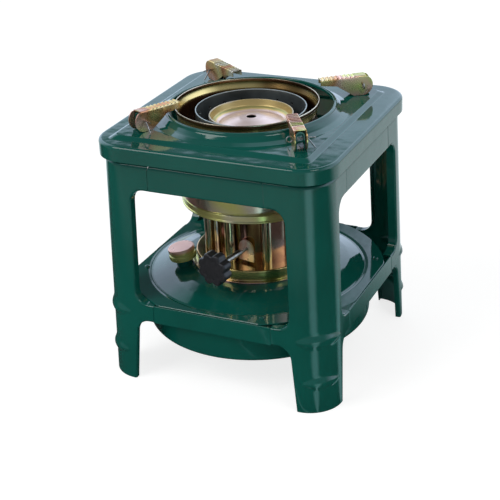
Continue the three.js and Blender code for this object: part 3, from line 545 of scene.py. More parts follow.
def wire_shape(path, radius):
    """A round wire along a path, closed with a pole at each end"""
    sides = 10
    points, rows = [path[0].copy()], [[0] * sides]
    side = Vector((0.13, 0.31, 0.94))
    for index, here in enumerate(path):
        along = (path[min(index + 1, len(path) - 1)] - path[max(index - 1, 0)]).normalized()
        across = side.cross(along).normalized()
        up = along.cross(across)
        rows.append(list(range(len(points), len(points) + sides)))
        for k in range(sides):
            angle = k * TURN / sides
            points.append(here + (across * math.cos(angle) + up * math.sin(angle)) * radius)
    rows.append([len(points)] * sides)
    points.append(path[-1].copy())
    return points, joined_rows(rows)


def together(*shapes):
    points, faces = [], []
    for more_points, more_faces in shapes:
        faces += [tuple(number + len(points) for number in face) for face in more_faces]
        points += more_points
    return points, faces


def moved(shape, place):
    return [place @ point for point in shape[0]], shape[1]


def tidied(mesh, sharp_angle):
    """Joins doubled points, turns the faces outwards and smooths all but the sharp edges"""
    work = bmesh.new()
    work.from_mesh(mesh)
    bmesh.ops.remove_doubles(work, verts=work.verts, dist=2e-6)
    bmesh.ops.recalc_face_normals(work, faces=work.faces)
    work.to_mesh(mesh)
    work.free()
    mesh.shade_smooth()
    mesh.set_sharp_from_angle(angle=math.radians(sharp_angle))


def linked(name, data):
    """A new object in the scene"""
    made = bpy.data.objects.new(name, data)
    bpy.context.collection.objects.link(made)
    return made


def new_object(name, shape, place=Matrix()):
    points, faces = moved(shape, place)
    mesh = bpy.data.meshes.new(name)
    mesh.from_pydata([point * MM for point in points], [], faces)
    return linked(name, mesh)


def set_down(made, place):
    """Moves a finished mesh by a place in millimetres"""
    made.data.transform(Matrix.Scale(MM, 4) @ place @ Matrix.Scale(1 / MM, 4))
    return made


def fitted(made, finish_name, body, nodes, sharp_angle=35):
    """Gives a piece its finish, its body and the nodes it stands for"""
    tidied(made.data, sharp_angle)
    made.data.materials.clear()
    made.data.materials.append(finish(finish_name))
    even = made.modifiers.new("Even shading", "WEIGHTED_NORMAL")
    even.keep_sharp = True
    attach(made, body)
    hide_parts(*nodes)


def add_piece(node, shape, finish_name, place=Matrix(), body="stove", sharp_angle=35):
    """One piece in the place of the node whose name it takes"""
    fitted(new_object(node + "_looks", shape, place), finish_name, body, [node], sharp_angle)


def softened(node, finish_name, body, width):
    """A copy of a small node with its edges rounded over"""
    made = linked(node + "_looks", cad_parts[node].data.copy())
    work = bmesh.new()
    work.from_mesh(made.data)
    bmesh.ops.remove_doubles(work, verts=work.verts, dist=1e-5)
    bmesh.ops.dissolve_limit(work, angle_limit=math.radians(3), verts=work.verts, edges=work.edges)
    corners = [edge for edge in work.edges if len(edge.link_faces) == 2 and edge.calc_face_angle(0) > 0.6]
    bmesh.ops.bevel(work, geom=corners, offset=width * MM, segments=2, affect="EDGES", clamp_overlap=True)
    work.to_mesh(made.data)
    work.free()
    fitted(made, finish_name, body, [node], 30)


# Geometry Nodes

def new_tree(name, *sizes):
    """A geometry tree with one mesh in and out, its finish, and named sizes"""
    tree = bpy.data.node_groups.new(name, "GeometryNodeTree")
    tree.interface.new_socket("Geometry", in_out="INPUT", socket_type="NodeSocketGeometry")
    tree.interface.new_socket("Geometry", in_out="OUTPUT", socket_type="NodeSocketGeometry")
    tree.interface.new_socket("Finish", in_out="INPUT", socket_type="NodeSocketMaterial")
    for label, kind in sizes:
        tree.interface.new_socket(label, in_out="INPUT", socket_type="NodeSocket" + kind)
    graph = Graph(tree)
    return graph, graph.add("NodeGroupInput").outputs


def end_tree(graph, start, geometry):
    real = graph.first("GeometryNodeRealizeInstances", {"Geometry": geometry})
    dressed = graph.first("GeometryNodeSetMaterial", {"Geometry": real, "Material": start["Finish"]})
    graph.add("NodeGroupOutput", {"Geometry": dressed})
    return graph.tree


def settled(made, modifier):
    """Keeps what a modifier makes of an object as its plain mesh, without the modifier"""
    bpy.context.view_layer.update()
    seen = made.evaluated_get(bpy.context.evaluated_depsgraph_get())
    mesh = bpy.data.meshes.new_from_object(seen)
    mesh.name = made.name
    made.modifiers.remove(modifier)
    made.data = mesh
    return made


def grown(made, tree, **sizes):
    """Runs a geometry tree on an object and keeps the result as its plain mesh"""
    modifier = made.modifiers.new(tree.name, "NODES")
    modifier.node_group = tree
    for item in tree.interface.items_tree:
        key = item.name.replace(" ", "_").lower()
        if item.in_out == "INPUT" and key in sizes:
            modifier[item.identifier] = sizes[key]
    settled(made, modifier)


def ring_tree():
    """Copies of the incoming mesh, turned round the Z axis"""
    graph, start = new_tree("Copies in a ring", ("Count", "Int"), ("First Angle", "Float"))
    points = graph.first("GeometryNodeMeshLine", {"Count": start["Count"], "Offset": (0, 0, 0)})
    share = graph.math("DIVIDE", graph.first("GeometryNodeInputIndex"), start["Count"])
    angle = graph.math("MULTIPLY_ADD", share, TURN, start["First Angle"])
    copies = graph.first("GeometryNodeInstanceOnPoints", {
        "Points": points, "Instance": start["Geometry"], "Rotation": graph.point(Z=angle)})
    return end_tree(graph, start, copies)


def rolled_sheet_tree():
    """A sheet of equal cells rolled into a tube and joined to the rims that come in"""
    graph, start = new_tree(
        "Perforated tube", ("Cell", "Object"), ("Columns", "Int"), ("Rows", "Int"),
        ("Pitch", "Float"), ("Row Height", "Float"), ("Bottom", "Float"))
    sheet = graph.add("GeometryNodeObjectInfo", {"Object": start["Cell"]}).outputs["Geometry"]
    for axis, count, step in (("X", "Columns", "Pitch"), ("Z", "Rows", "Row Height")):
        line = graph.first("GeometryNodeMeshLine", {
            "Count": start[count], "Offset": graph.point(**{axis: start[step]})})
        sheet = graph.first("GeometryNodeInstanceOnPoints", {"Points": line, "Instance": sheet})
    flat = graph.first("GeometryNodeRealizeInstances", {"Geometry": sheet})
    place = graph.parts(graph.first("GeometryNodeInputPosition"))
    length = graph.math("MULTIPLY", start["Columns"], start["Pitch"])
    angle = graph.math("DIVIDE", graph.math("MULTIPLY", place["X"], TURN), length)
    reach = graph.math("ADD", graph.math("DIVIDE", length, TURN), place["Y"])
    bent = graph.point_round(angle, reach, graph.math("ADD", place["Z"], start["Bottom"]))
    rolled = graph.first("GeometryNodeSetPosition", {"Geometry": flat, "Position": bent})
    both = graph.add("GeometryNodeJoinGeometry", {"Geometry": start["Geometry"]})
    graph.put(both, "Geometry", rolled)
    merged = graph.first("GeometryNodeMergeByDistance", {"Geometry": both.outputs[0], "Distance": 2e-5})
    return end_tree(graph, start, merged)


def knob_tree():
    """A flat grid wrapped into a round-edged disc whose rim has scallops"""
    graph, start = new_tree(
        "Scalloped knob", ("Lobes", "Int"), ("Radius", "Float"), ("Scallop", "Float"),
        ("Thickness", "Float"))
    grid = graph.first("GeometryNodeMeshGrid", {
        "Size X": 1, "Size Y": 1, "Vertices X": 193, "Vertices Y": 41})
    place = graph.parts(graph.first("GeometryNodeInputPosition"))
    round_angle = graph.math("MULTIPLY", place["X"], TURN)
    over_angle = graph.math("MULTIPLY", place["Y"], math.pi)
    wave = graph.math("COSINE", graph.math("MULTIPLY", round_angle, start["Lobes"]))
    notch = graph.math("POWER", graph.math("MULTIPLY_ADD", wave, 0.5, 0.5), 1.6)
    rim = graph.math("SUBTRACT", start["Radius"], graph.math("MULTIPLY", notch, start["Scallop"]))
    flat = graph.math("POWER", graph.math("COSINE", over_angle), 0.22)
    rise = graph.math("SINE", over_angle)
    full = graph.math("POWER", graph.math("ABSOLUTE", rise), 0.3)
    dip = graph.math("SINE", graph.math("MULTIPLY", flat, math.pi))
    dished = graph.math("MULTIPLY_ADD", graph.math("MAXIMUM", dip, 0), -0.14, full)
    signed = graph.math("MULTIPLY", graph.math("SIGN", rise), dished)
    height = graph.math("MULTIPLY", graph.math("MULTIPLY", signed, start["Thickness"]), 0.5)
    shaped = graph.point_round(round_angle, graph.math("MULTIPLY", rim, flat), height)
    wrapped = graph.first("GeometryNodeSetPosition", {"Geometry": grid, "Position": shaped})
    merged = graph.first("GeometryNodeMergeByDistance", {"Geometry": wrapped, "Distance": 1e-5})
    return end_tree(graph, start, merged)


def wick_circle(name, one, finish_name, body, node):
    """Eight copies of a shape in the circle of the wicks, as one piece for eight nodes"""
    made = new_object(name, moved(one, Matrix.Translation((WICK_CIRCLE, 0, 0))))
    grown(made, ring_tree(), count=WICKS, first_angle=FIRST_WICK, finish=finish(finish_name))
    nodes = [node + str(k + 1) for k in range(WICKS)]
    fitted(set_down(made, BURNER), finish_name, body, nodes)


# The square frame

def frame_half(height):
    """Half the frame's outside width, which flares to the floor and rolls in under the cover"""
    flared = FRAME_TOP_HALF + (FOOT_HALF - FRAME_TOP_HALF) * (1 - height / SKIRT_BOTTOM)
    over = max(height - (SKIRT_BOTTOM - SHOULDER), 0)
    return flared - SHOULDER + math.sqrt(SHOULDER ** 2 - min(over, SHOULDER * 0.9) ** 2)


def on_front(x, height, depth):
    return Vector((x, depth - frame_half(height), height))


def leg_rows():
    """Where each row of a leg ends: its reach, height, the edge's direction, its lip and its roll"""
    rows = [(FOOT_REACH, 0, (1, 0), FOOT_LIP_DEPTH, EDGE_ROLL)]

    def corner(level, up, lip):
        arc = []
        for step in range(9):
            angle = step / 8 * QUARTER
            across, along = math.cos(angle), math.sin(angle)
            reach = WINDOW_REACH + WINDOW_CORNER * (1 - across)
            height = level - up * WINDOW_CORNER * (1 - along)
            arc.append((reach, height, (across, -up * along), lip, EDGE_ROLL))
        arc.append((ARM_REACH, level, (0, -up), lip, EDGE_ROLL))
        rows.extend(arc if up > 0 else reversed(arc))

    def upright(low, high, reach_low, lip, step):
        count = round((high - low) / step)
        for share in [k / count for k in range(1, count)]:
            reach = reach_low + (WINDOW_REACH - reach_low) * share
            rows.append((reach, low + (high - low) * share, (1, 0), lip, EDGE_ROLL))

    def arm(low, high, count):
        for k in range(count + 1):
            rows.append((ARM_REACH, low + (high - low) * k / count, (1, 0), SHEET, ARM_ROLL))

    upright(0, LOWER_RAIL_BOTTOM - WINDOW_CORNER, FOOT_REACH, FOOT_LIP_DEPTH, 1.1)
    corner(LOWER_RAIL_BOTTOM, 1, FOOT_LIP_DEPTH)
    arm(LOWER_RAIL_BOTTOM + EDGE_ROLL + ARM_GAP, WINDOW_BOTTOM - EDGE_ROLL - ARM_GAP, 12)
    corner(WINDOW_BOTTOM, -1, LIP_DEPTH)
    upright(WINDOW_BOTTOM + WINDOW_CORNER, WINDOW_TOP - WINDOW_CORNER, WINDOW_REACH, LIP_DEPTH, 6)
    corner(WINDOW_TOP, 1, LIP_DEPTH)
    arm(WINDOW_TOP + EDGE_ROLL + ARM_GAP, COVER_TOP - SHEET, 30)
    return rows


def bead_rise(height, angle, rise):
    """How far a leg stands out at a height and at an angle from its diagonal, in degrees"""
    total = 0
    for middle, spread, half_height in LEG_BEADS:
        share = angle / spread
        if abs(share) < 1:
            thin = 1 - share * share
            off = (height - middle) / (half_height * thin + 0.3)
            if abs(off) < 1:
                climb = (off + 1) / 0.9 if off < -0.1 else (1 - off) / 1.1
                total += rise * math.sqrt(thin) * climb * climb * (3 - 2 * climb)
    return total


def leg_ring(row, rise):
    reach, height, (level, upward), lip, roll = row
    centre = frame_half(height) - LEG_RADIUS
    corner = Vector((centre - reach, 0, height))
    out = Vector((-level, 0, upward))
    middle = corner - out * roll

    def wall_half(inset):
        """From the lip's end round the rolled edge and the face to the diagonal"""
        end = corner - out * inset
        points = [on_front(end.x, end.z, max(depth, inset + 0.01)) for depth in (lip, (lip + roll) / 2)]
        radius = max(roll - inset, 0.02)
        for step in range(7):
            angle = step / 6 * QUARTER
            place = middle + out * radius * math.cos(angle)
            points.append(on_front(place.x, place.z, roll - radius * math.sin(angle)))
        for share in (0.05, 0.35, 0.65, 0.95):
            x = middle.x + (centre - middle.x) * share
            points.append(on_front(x, height + (middle.z - height) * (1 - share) ** 2, inset))
        for step in range(21):
            angle = step / 20 * QUARTER / 2 - QUARTER
            radius = LEG_RADIUS - inset + bead_rise(height, 45 - step / 20 * 45, rise)
            x, y = centre + radius * math.cos(angle), -centre + radius * math.sin(angle)
            points.append(Vector((x, y, height)))
        return points

    def whole(inset):
        half = wall_half(inset)
        return half + [Vector((-point.y, -point.x, point.z)) for point in reversed(half[:-1])]

    return whole(0) + whole(SHEET)[::-1]


def rail_shape(plain_edge, lip_edge, lip, roll):
    """A strip with one lip turned in at the window, its edge rolled"""
    inner = lip_edge + math.copysign(SHEET, plain_edge - lip_edge)
    outline = rounded([
        (0, plain_edge), (0, lip_edge, roll), (lip, lip_edge), (lip, inner), (SHEET, inner, 0.5),
        (SHEET, plain_edge)], 6)
    section = []
    for before, after in zip(outline, outline[1:] + outline[:1]):
        count = max(round(abs(after.y - before.y) / 1.5), 1)
        section += [before.lerp(after, k / count) for k in range(count)]
    low, high = sorted((plain_edge, lip_edge))
    rings = []
    for share in (-1, -0.99, -0.6, 0, 0.6, 0.99, 1):
        tuck = 0.35 * (abs(share) == 1)
        ring = []
        for depth, height in section:
            height = min(max(height, low), high)
            reach = frame_half(height) - LEG_RADIUS - ARM_REACH - 0.3
            ring.append(on_front(share * reach, height, depth + (tuck if depth < SHEET / 2 else 0)))
        rings.append(ring)
    return capped(rings)


class STOVE_OT_frame(bpy.types.Operator):
    """Build the four legs and the rails between them"""

    bl_idname = "stove.frame"
    bl_label = "Legs and rails"

    def execute(self, context):
        rise = context.scene.stove_sizes.bead_height / MM
        leg = bent_sheet([leg_ring(row, rise) for row in leg_rows()])
        upper = rail_shape(COVER_TOP - SHEET, WINDOW_TOP, LIP_DEPTH, EDGE_ROLL)
        lower = rail_shape(LOWER_RAIL_BOTTOM, WINDOW_BOTTOM, LOWER_LIP_DEPTH, LOWER_LIP_ROLL)
        for index, (leg_name, side) in enumerate(zip(LEG_NAMES, SIDE_NAMES)):
            turn = Matrix.Rotation(index * QUARTER, 4, "Z")
            add_piece(leg_name, leg, "enamel", turn)
            add_piece("upper_rail_" + side, upper, "enamel", turn)
            add_piece("lower_rail_" + side, lower, "enamel", turn)
        return {"FINISHED"}


# The top cover

def cover_angles():
    """Directions that every loop of the cover shares, closest together near the corners"""
    steps = 30
    octant = [(1 - (1 - k / steps) ** 2) * QUARTER / 2 for k in range(steps + 1)]
    quadrant = octant + [QUARTER - angle for angle in reversed(octant[:-1])]
    return [turn * QUARTER + angle for turn in range(4) for angle in quadrant[:-1]]


def square_reach(half, radius, angle):
    """How far a square with rounded corners reaches at an angle"""
    folded = abs((angle + QUARTER / 2) % QUARTER - QUARTER / 2)
    straight = half - radius
    if math.tan(folded) * half <= straight:
        return half / math.cos(folded)
    along = straight * (math.cos(folded) + math.sin(folded))
    return along + math.sqrt(max(along ** 2 - 2 * straight ** 2 + radius ** 2, 0))


def cover_shape():
    """One skin over the border, the panel and the collar, and back below them"""
    angles = cover_angles()
    middle = BURNER.translation

    def loop(reaches, height, x, y):
        return [Vector((x + reach * math.cos(angle), y + reach * math.sin(angle), height))
                for reach, angle in zip(reaches, angles)]

    def square(half, radius, height, x, y):
        return loop([square_reach(half, radius, angle) for angle in angles], height, x, y)

    def border(outline):
        return [square(COVER_HALF - inset, COVER_CORNER - inset, height, 0, 0) for inset, height in outline]

    def panel(outline):
        return [square(PANEL_HALF - inset, PANEL_CORNER, height, middle.x, middle.y)
                for inset, height in outline]

    def collar(outline):
        return [loop([radius] * len(angles), height, middle.x, middle.y) for radius, height in outline]

    # The collar's wall bends at its waist and again at its neck, below a lip that turns down inside
    waist = COLLAR_RADIUS + (COLLAR_FOOT - COLLAR_RADIUS) * 0.4
    waist_height = PANEL_TOP + (COLLAR_TOP - PANEL_TOP) * 0.22
    neck = COLLAR_RADIUS + (COLLAR_FOOT - COLLAR_RADIUS) * 0.05
    neck_height = PANEL_TOP + (COLLAR_TOP - PANEL_TOP) * 0.7
    lip = COLLAR_RADIUS - 2.8
    lip_inside = COLLAR_RADIUS - 1.9
    return hooped(
        border(rounded([
            (0.6, SKIRT_BOTTOM), (0, SKIRT_BOTTOM + 0.3, 0.3), (0, COVER_TOP, 3.5), (6.5, COVER_TOP)], 8))
        + panel(rounded([
            (-2.2, COVER_TOP), (-0.6, COVER_TOP, 5), (PANEL_SLOPE + 1.2, PANEL_TOP, 5),
            (4.7, PANEL_TOP)], 6))
        + collar(rounded([
            (COLLAR_FOOT + 1, PANEL_TOP), (COLLAR_FOOT, PANEL_TOP, 3), (waist, waist_height, 5),
            (neck, neck_height, 4), (COLLAR_RADIUS, COLLAR_TOP, 1.5), (lip, COLLAR_TOP, 1.2),
            (lip, COLLAR_TOP - 3)], 6))
        + collar(rounded([
            (lip_inside, COLLAR_TOP - 3), (lip_inside, COLLAR_TOP - SHEET, 0.5),
            (COLLAR_RADIUS - SHEET, COLLAR_TOP - SHEET, 0.6), (neck - SHEET, neck_height - 0.3, 3),
            (waist - 0.6, waist_height - SHEET, 4), (COLLAR_FOOT, PANEL_TOP - SHEET)], 4))
        + panel([(PANEL_SLOPE + 0.6, PANEL_TOP - SHEET), (0.5, COVER_TOP - SHEET)])
        + border(rounded([
            (8, COVER_TOP - SHEET), (SHEET, COVER_TOP - SHEET, 2.6), (SHEET, SKIRT_BOTTOM)], 4)))


class STOVE_OT_cover(bpy.types.Operator):
    """Build the pressed top cover"""

    bl_idname = "stove.cover"
    bl_label = "Top cover"

    def execute(self, context):
        add_piece("top_cover", cover_shape(), "enamel")
        return {"FINISHED"}


# Tank and filler

def tank_top_shape():
    """A round flange with four straight sides along the rails, a gutter inside it, and the dome"""
    middle = BURNER.translation
    angles = [k * TURN / (2 * SIDES) for k in range(2 * SIDES)]
    directions = [Vector((math.cos(angle), math.sin(angle), 0)) for angle in angles]
    rim = TANK_RADIUS - 1

    def side_reach(way, offset):
        return (math.copysign(FLANGE_HALF, way) - offset) / way if abs(way) > POLE else FLANGE_RADIUS

    def flange(inset, height):
        reaches = [min(FLANGE_RADIUS, side_reach(way.x, middle.x), side_reach(way.y, middle.y))
                   for way in directions]
        return [way * (reach - inset) + Vector((0, 0, height)) for way, reach in zip(directions, reaches)]

    def ring(radius, height):
        return [way * radius + Vector((0, 0, height)) for way in directions]

    edge = [(0.6, WINDOW_BOTTOM), (0, WINDOW_BOTTOM + 0.5), (0, FLANGE_TOP - 0.5), (0.5, FLANGE_TOP),
            (1.2, FLANGE_TOP)]
    across = rounded([
        (rim + 1.6, FLANGE_TOP), (rim - 0.4, FLANGE_TOP, 5), (rim - 3, FLANGE_TOP - 0.5, 3),
        (rim - 5.4, FLANGE_TOP - 0.2, 5), (89.5, 87.4, 30), (76.9, 90.6, 20),
        (66, DOME_TOP, 8), (56, DOME_TOP), (56, DOME_TOP - 1), (66, DOME_TOP - 1, 8), (76.9, 89.6, 20),
        (89.5, 86.4, 30), (rim - 5.4, FLANGE_TOP - 1.6, 2), (rim - 3, FLANGE_TOP - 2.3, 1),
        (rim - 1.4, FLANGE_TOP - 2, 1), (rim - 0.4, WINDOW_BOTTOM), (rim + 1.2, WINDOW_BOTTOM)], 8)
    return hooped([flange(*place) for place in edge] + [ring(*place) for place in across])


class STOVE_OT_tank(bpy.types.Operator):
    """Build the fuel tank"""

    bl_idname = "stove.tank"
    bl_label = "Fuel tank"

    def execute(self, context):
        floor = TANK_BOTTOM + 2.2
        inside = TANK_RADIUS - 1
        add_piece("tank_shell", turned([
            (0, floor), (96, floor, 2), (98.2, TANK_BOTTOM, 2), (TANK_RADIUS, TANK_BOTTOM, 5),
            (TANK_RADIUS, WINDOW_BOTTOM), (inside, WINDOW_BOTTOM), (inside, TANK_BOTTOM + 1, 4),
            (98.2, TANK_BOTTOM + 1, 1), (96, floor + 1, 1), (0, floor + 1)], 8), "enamel", BURNER)
        rivet = turned([(0, 1.9), (2.3, 1.9, 1.6), (2.6, 0), (0, 0)], 4, 20)
        turns = [Matrix.Rotation(index * QUARTER, 4, "Z") for index in range(4)]
        seats = [BURNER.inverted() @ (turn @ Matrix.Translation(RIVET_PLACE)) for turn in turns]
        rivets = [moved(rivet, seat) for seat in seats]
        add_piece("tank_top", together(tank_top_shape(), *rivets), "enamel", BURNER)
        return {"FINISHED"}


def rib_shape():
    """An upright rib on the side of the filler cap, lower at its ends"""
    crests = ((11.8, 13), (12.1, 13.3), (14.4, 13.3), (14.7, 13))
    return capped([[Vector((12.7, -0.4, height)), Vector((crest, 0, height)), Vector((12.7, 0.4, height))]
                   for height, crest in crests])


class STOVE_OT_filler(bpy.types.Operator):
    """Build the filler neck and its ribbed cap"""

    bl_idname = "stove.filler"
    bl_label = "Filler and cap"

    def execute(self, context):
        add_piece("filler_neck", turned([
            (6.8, -4), (8, -4), (8, 9.4, 1), (10.9, 10, 1), (10.9, 19, 0.4), (9.7, 19, 0.4),
            (9.7, 10.6, 0.5), (6.8, 9.6, 0.5)], 4, 64), "enamel", FILLER)
        cap = new_object("filler_cap_looks", turned([
            (0, CAP_TOP), (12.2, CAP_TOP, 0.8), (13, 21.8, 0.6), (13, 17.8, 0.7), (12, 17.2, 0.4),
            (12, 16, 0.4), (13, 15.4, 0.7), (13, 10.8, 0.8), (12.2, 10.6, 0.3), (11.4, 10.6),
            (11.4, 20.8), (0, 20.8)], 4, 96))
        ribs = new_object("filler_cap_ribs", rib_shape())
        count = context.scene.stove_sizes.cap_ribs
        grown(ribs, ring_tree(), count=count, first_angle=0.0, finish=finish("zinc_cap"))
        for made in (cap, ribs):
            fitted(set_down(made, FILLER), "zinc_cap", "filler_closure", ["filler_cap"])
        return {"FINISHED"}


# The burner's standing part

def drilled(made):
    """Cuts the holes where the wick tubes come up through the burner plate"""
    low, high = PLATE_TOP - 5, PLATE_TOP + 5
    peg = turned([(0, low), (TUBE_RADIUS, low), (TUBE_RADIUS, high), (0, high)], sides=TUBE_SIDES)
    turns = [Matrix.Rotation(FIRST_WICK + k * TURN / WICKS, 4, "Z") for k in range(WICKS)]
    pegs = [moved(peg, turn @ Matrix.Translation((WICK_CIRCLE, 0, 0))) for turn in turns]
    tool = new_object("Drill", together(*pegs), BURNER)
    for each in (made, tool):
        tidied(each.data, 35)
    cut = made.modifiers.new("Holes", "BOOLEAN")
    cut.solver = "EXACT"
    cut.object = tool
    settled(made, cut)
    bpy.data.objects.remove(tool)
    return made


class STOVE_OT_gallery(bpy.types.Operator):
    """Build the wick gallery, the tubes, the barrel and the burner plate"""

    bl_idname = "stove.gallery"
    bl_label = "Gallery, tubes and burner plate"

    def execute(self, context):
        add_piece("wick_gallery", turned([
            (58.3, DOME_TOP), (63, DOME_TOP, 0.4), (63, 93.4, 0.6), (59.3, 93.4, 0.8),
            (59.3, GALLERY_TOP, 1.6), (37, GALLERY_TOP), (37, 102.9), (58.3, 102.9, 0.8)]),
            "zinc_gallery", BURNER)
        add_piece("burner_barrel", turned([
            (38, GALLERY_TOP), (39, GALLERY_TOP), (39, PLATE_UNDER), (38, PLATE_UNDER)]),
            "zinc_drawn", BURNER)
        plate = turned([
            (67.8, PLATE_BOTTOM), (69.6, PLATE_BOTTOM, 0.5), (69.6, 158, 0.5), (68.8, 159, 0.8),
            (68.8, PLATE_TOP, 1.4), (36, PLATE_TOP), (36, PLATE_UNDER), (67.8, PLATE_UNDER, 0.6)])
        made = drilled(new_object("burner_plate_looks", plate, BURNER))
        fitted(made, "zinc", "stove", ["burner_plate"])
        tube = turned([
            (4, GALLERY_TOP), (TUBE_RADIUS, GALLERY_TOP), (TUBE_RADIUS, PLATE_TOP), (4, PLATE_TOP)],
            sides=TUBE_SIDES)
        wick_circle("wick_tubes", tube, "zinc_tube", "stove", "wick_tube_")
        return {"FINISHED"}


class STOVE_OT_wick_drive(bpy.types.Operator):
    """Build the knob, the shaft, its bearing plate, the pinion and the rack"""

    bl_idname = "stove.wick_drive"
    bl_label = "Wick drive"

    def execute(self, context):
        add_piece("wick_shaft", turned([
            (0, -49.9), (3, -49.9, 0.4), (3, -9.6, 0.8), (1.9, -9, 0.4), (1.9, 47.3, 0.3),
            (0, 47.3)], 3, 32), "bright_steel", ALONG_SHAFT, "wick_drive")
        knob = new_object("wick_knob_looks", ([Vector((0, 0, 0))], []))
        grown(knob, knob_tree(), lobes=context.scene.stove_sizes.knob_lobes, radius=KNOB_RADIUS * MM,
              scallop=KNOB_SCALLOP * MM, thickness=KNOB_THICKNESS * MM, finish=finish("black_plastic"))
        set_down(knob, ALONG_SHAFT @ Matrix.Translation((0, 0, KNOB_PLACE)))
        fitted(knob, "black_plastic", "wick_drive", ["wick_knob"], 60)
        softened("shaft_plate", "zinc_plate", "stove", 0.25)
        softened("pinion", "bright_steel", "wick_drive", 0.1)
        softened("lifter_rack", "bright_steel", "wick_lifter", 0.1)
        softened("lifter_plate", "dark_steel", "wick_lifter", 0.2)
        return {"FINISHED"}


class STOVE_OT_wicks(bpy.types.Operator):
    """Build the eight cotton wicks and the cap's seal"""

    bl_idname = "stove.wicks"
    bl_label = "Wicks and seal"

    def execute(self, context):
        wick = turned([(0, 44), (3.45, 44, 0.8), (3.45, 163, 1.4), (0, 162.6)], 4, 24)
        wick_circle("wicks", wick, "cotton", "wick_lifter", "wick_")
        seal = turned([(0, 19.3), (10.8, 19.3, 0.3), (10.8, 20.5, 0.3), (0, 20.5)], 3, 64)
        add_piece("cap_seal", seal, "seal_rubber", FILLER, "filler_closure")
        return {"FINISHED"}


# The burner's loose part

def perforated_cell(width, height, wall, hole):
    """A flat piece of sheet, some squares wide and high, with a hole in two of them"""
    across, up = width / CELL_COLUMNS, height / CELL_ROWS
    angles = [k * TURN / HOLE_SIDES for k in range(HOLE_SIDES)]
    spokes = [Vector((math.cos(angle), 0, math.sin(angle))) for angle in angles]
    points, faces = [], []

    def square_at(column, row, side):
        left, low = column * across - width / 2, row * up - height / 2
        start = len(points)
        points.extend(Vector((x, side, z)) for x, z in (
            (left + across, low + up), (left, low + up), (left, low), (left + across, low)))
        return [start + k for k in range(4)], Vector((left + across / 2, side, low + up / 2))

    for row in range(CELL_ROWS):
        for column in range(CELL_COLUMNS):
            rims = []
            for side in (-wall / 2, wall / 2):
                square, middle = square_at(column, row, side)
                if (column, row) not in HOLE_SQUARES:
                    faces.append(tuple(square))
                    continue
                rim = [len(points) + k for k in range(HOLE_SIDES)]
                points.extend(middle + spoke * hole for spoke in spokes)
                for k in range(4):
                    arc = [rim[(4 * k + 2 + j) % HOLE_SIDES] for j in range(5)]
                    faces.append((square[k], square[(k + 1) % 4], *reversed(arc)))
                rims.append(rim)
            faces += joined_rows(rims)
    return points, faces


def perforated_tube(node, radius, bottom, top):
    """A steel tube with a plain rim at each end and staggered rows of holes between"""
    sizes = bpy.context.scene.stove_sizes
    round_middle = TURN * (radius - SHEET / 2)
    columns = round(round_middle / (sizes.hole_pitch / MM))
    pitch = round_middle / columns
    holed = top - bottom - 2 * RIM_BAND
    rows = round(holed / CELL_HEIGHT)
    row_height = holed / rows
    cell = new_object("Perforated cell", perforated_cell(pitch, row_height, SHEET, sizes.hole_radius / MM))
    sides = columns * CELL_COLUMNS
    inside = radius - SHEET
    rims = []
    for start, end in ((bottom + RIM_BAND, bottom), (top - RIM_BAND, top)):
        outline = [(inside, start), (inside, end), (radius, end), (radius, start)]
        points, faces = turned(outline, sides=sides)
        # Without the last row of faces the rim is open where the sheet joins it
        rims.append((points, faces[:-sides]))
    made = new_object(node + "_looks", together(*rims))
    first_row = bottom + RIM_BAND + row_height / 2
    grown(made, rolled_sheet_tree(), cell=cell, columns=columns, rows=rows, pitch=pitch * MM,
          row_height=row_height * MM, bottom=first_row * MM, finish=finish("dark_steel"))
    bpy.data.objects.remove(cell)
    fitted(set_down(made, BURNER), "dark_steel", "burner_set", [node], 40)


class STOVE_OT_burner_set(bpy.types.Operator):
    """Build the drum and the two perforated flame tubes"""

    bl_idname = "stove.burner_set"
    bl_label = "Drum and flame tubes"

    def execute(self, context):
        drum = turned([
            (64.1, PLATE_TOP), (65, PLATE_TOP), (65, 239, 12), (66.3, 247.6, 0.4), (67.5, 247.6, 1.2),
            (67.5, DRUM_TOP, 1.4), (66.6, DRUM_TOP, 1), (66.4, 247.4, 3), (64.2, 242, 6), (64.1, 236)], 8)
        add_piece("burner_drum", drum, "zinc_drum", DRUM, "burner_set")
        perforated_tube("flame_tube_outer", 52, PLATE_TOP, 245)
        perforated_tube("flame_tube_inner", 38.6, PLATE_TOP, 235)
        return {"FINISHED"}


class STOVE_OT_dish(bpy.types.Operator):
    """Build the dish cap that closes the inner flame tube"""

    bl_idname = "stove.dish"
    bl_label = "Dish cap"

    def execute(self, context):
        dish = turned([
            (36.8, 235), (39.6, 235, 0.3), (39.6, 239.3, 0.5), (38.2, 239.3, 0.5), (36.2, 233.6, 1.5),
            (34.5, 232.4, 1.2), (31.5, 229.8, 1.2), (30, 229.8, 1.5), (21, 232.6, 14), (11.5, 235.2, 12),
            (4.7, 236, 0.5), (4.7, 235, 0.4), (11.5, 234.2, 12), (21, 231.6, 14), (30, 228.8),
            (32, 228.8, 1), (35, 231.4, 1)], 6)
        add_piece("dish_cap", dish, "zinc_dish", BURNER, "dish")
        return {"FINISHED"}


# Pot supports

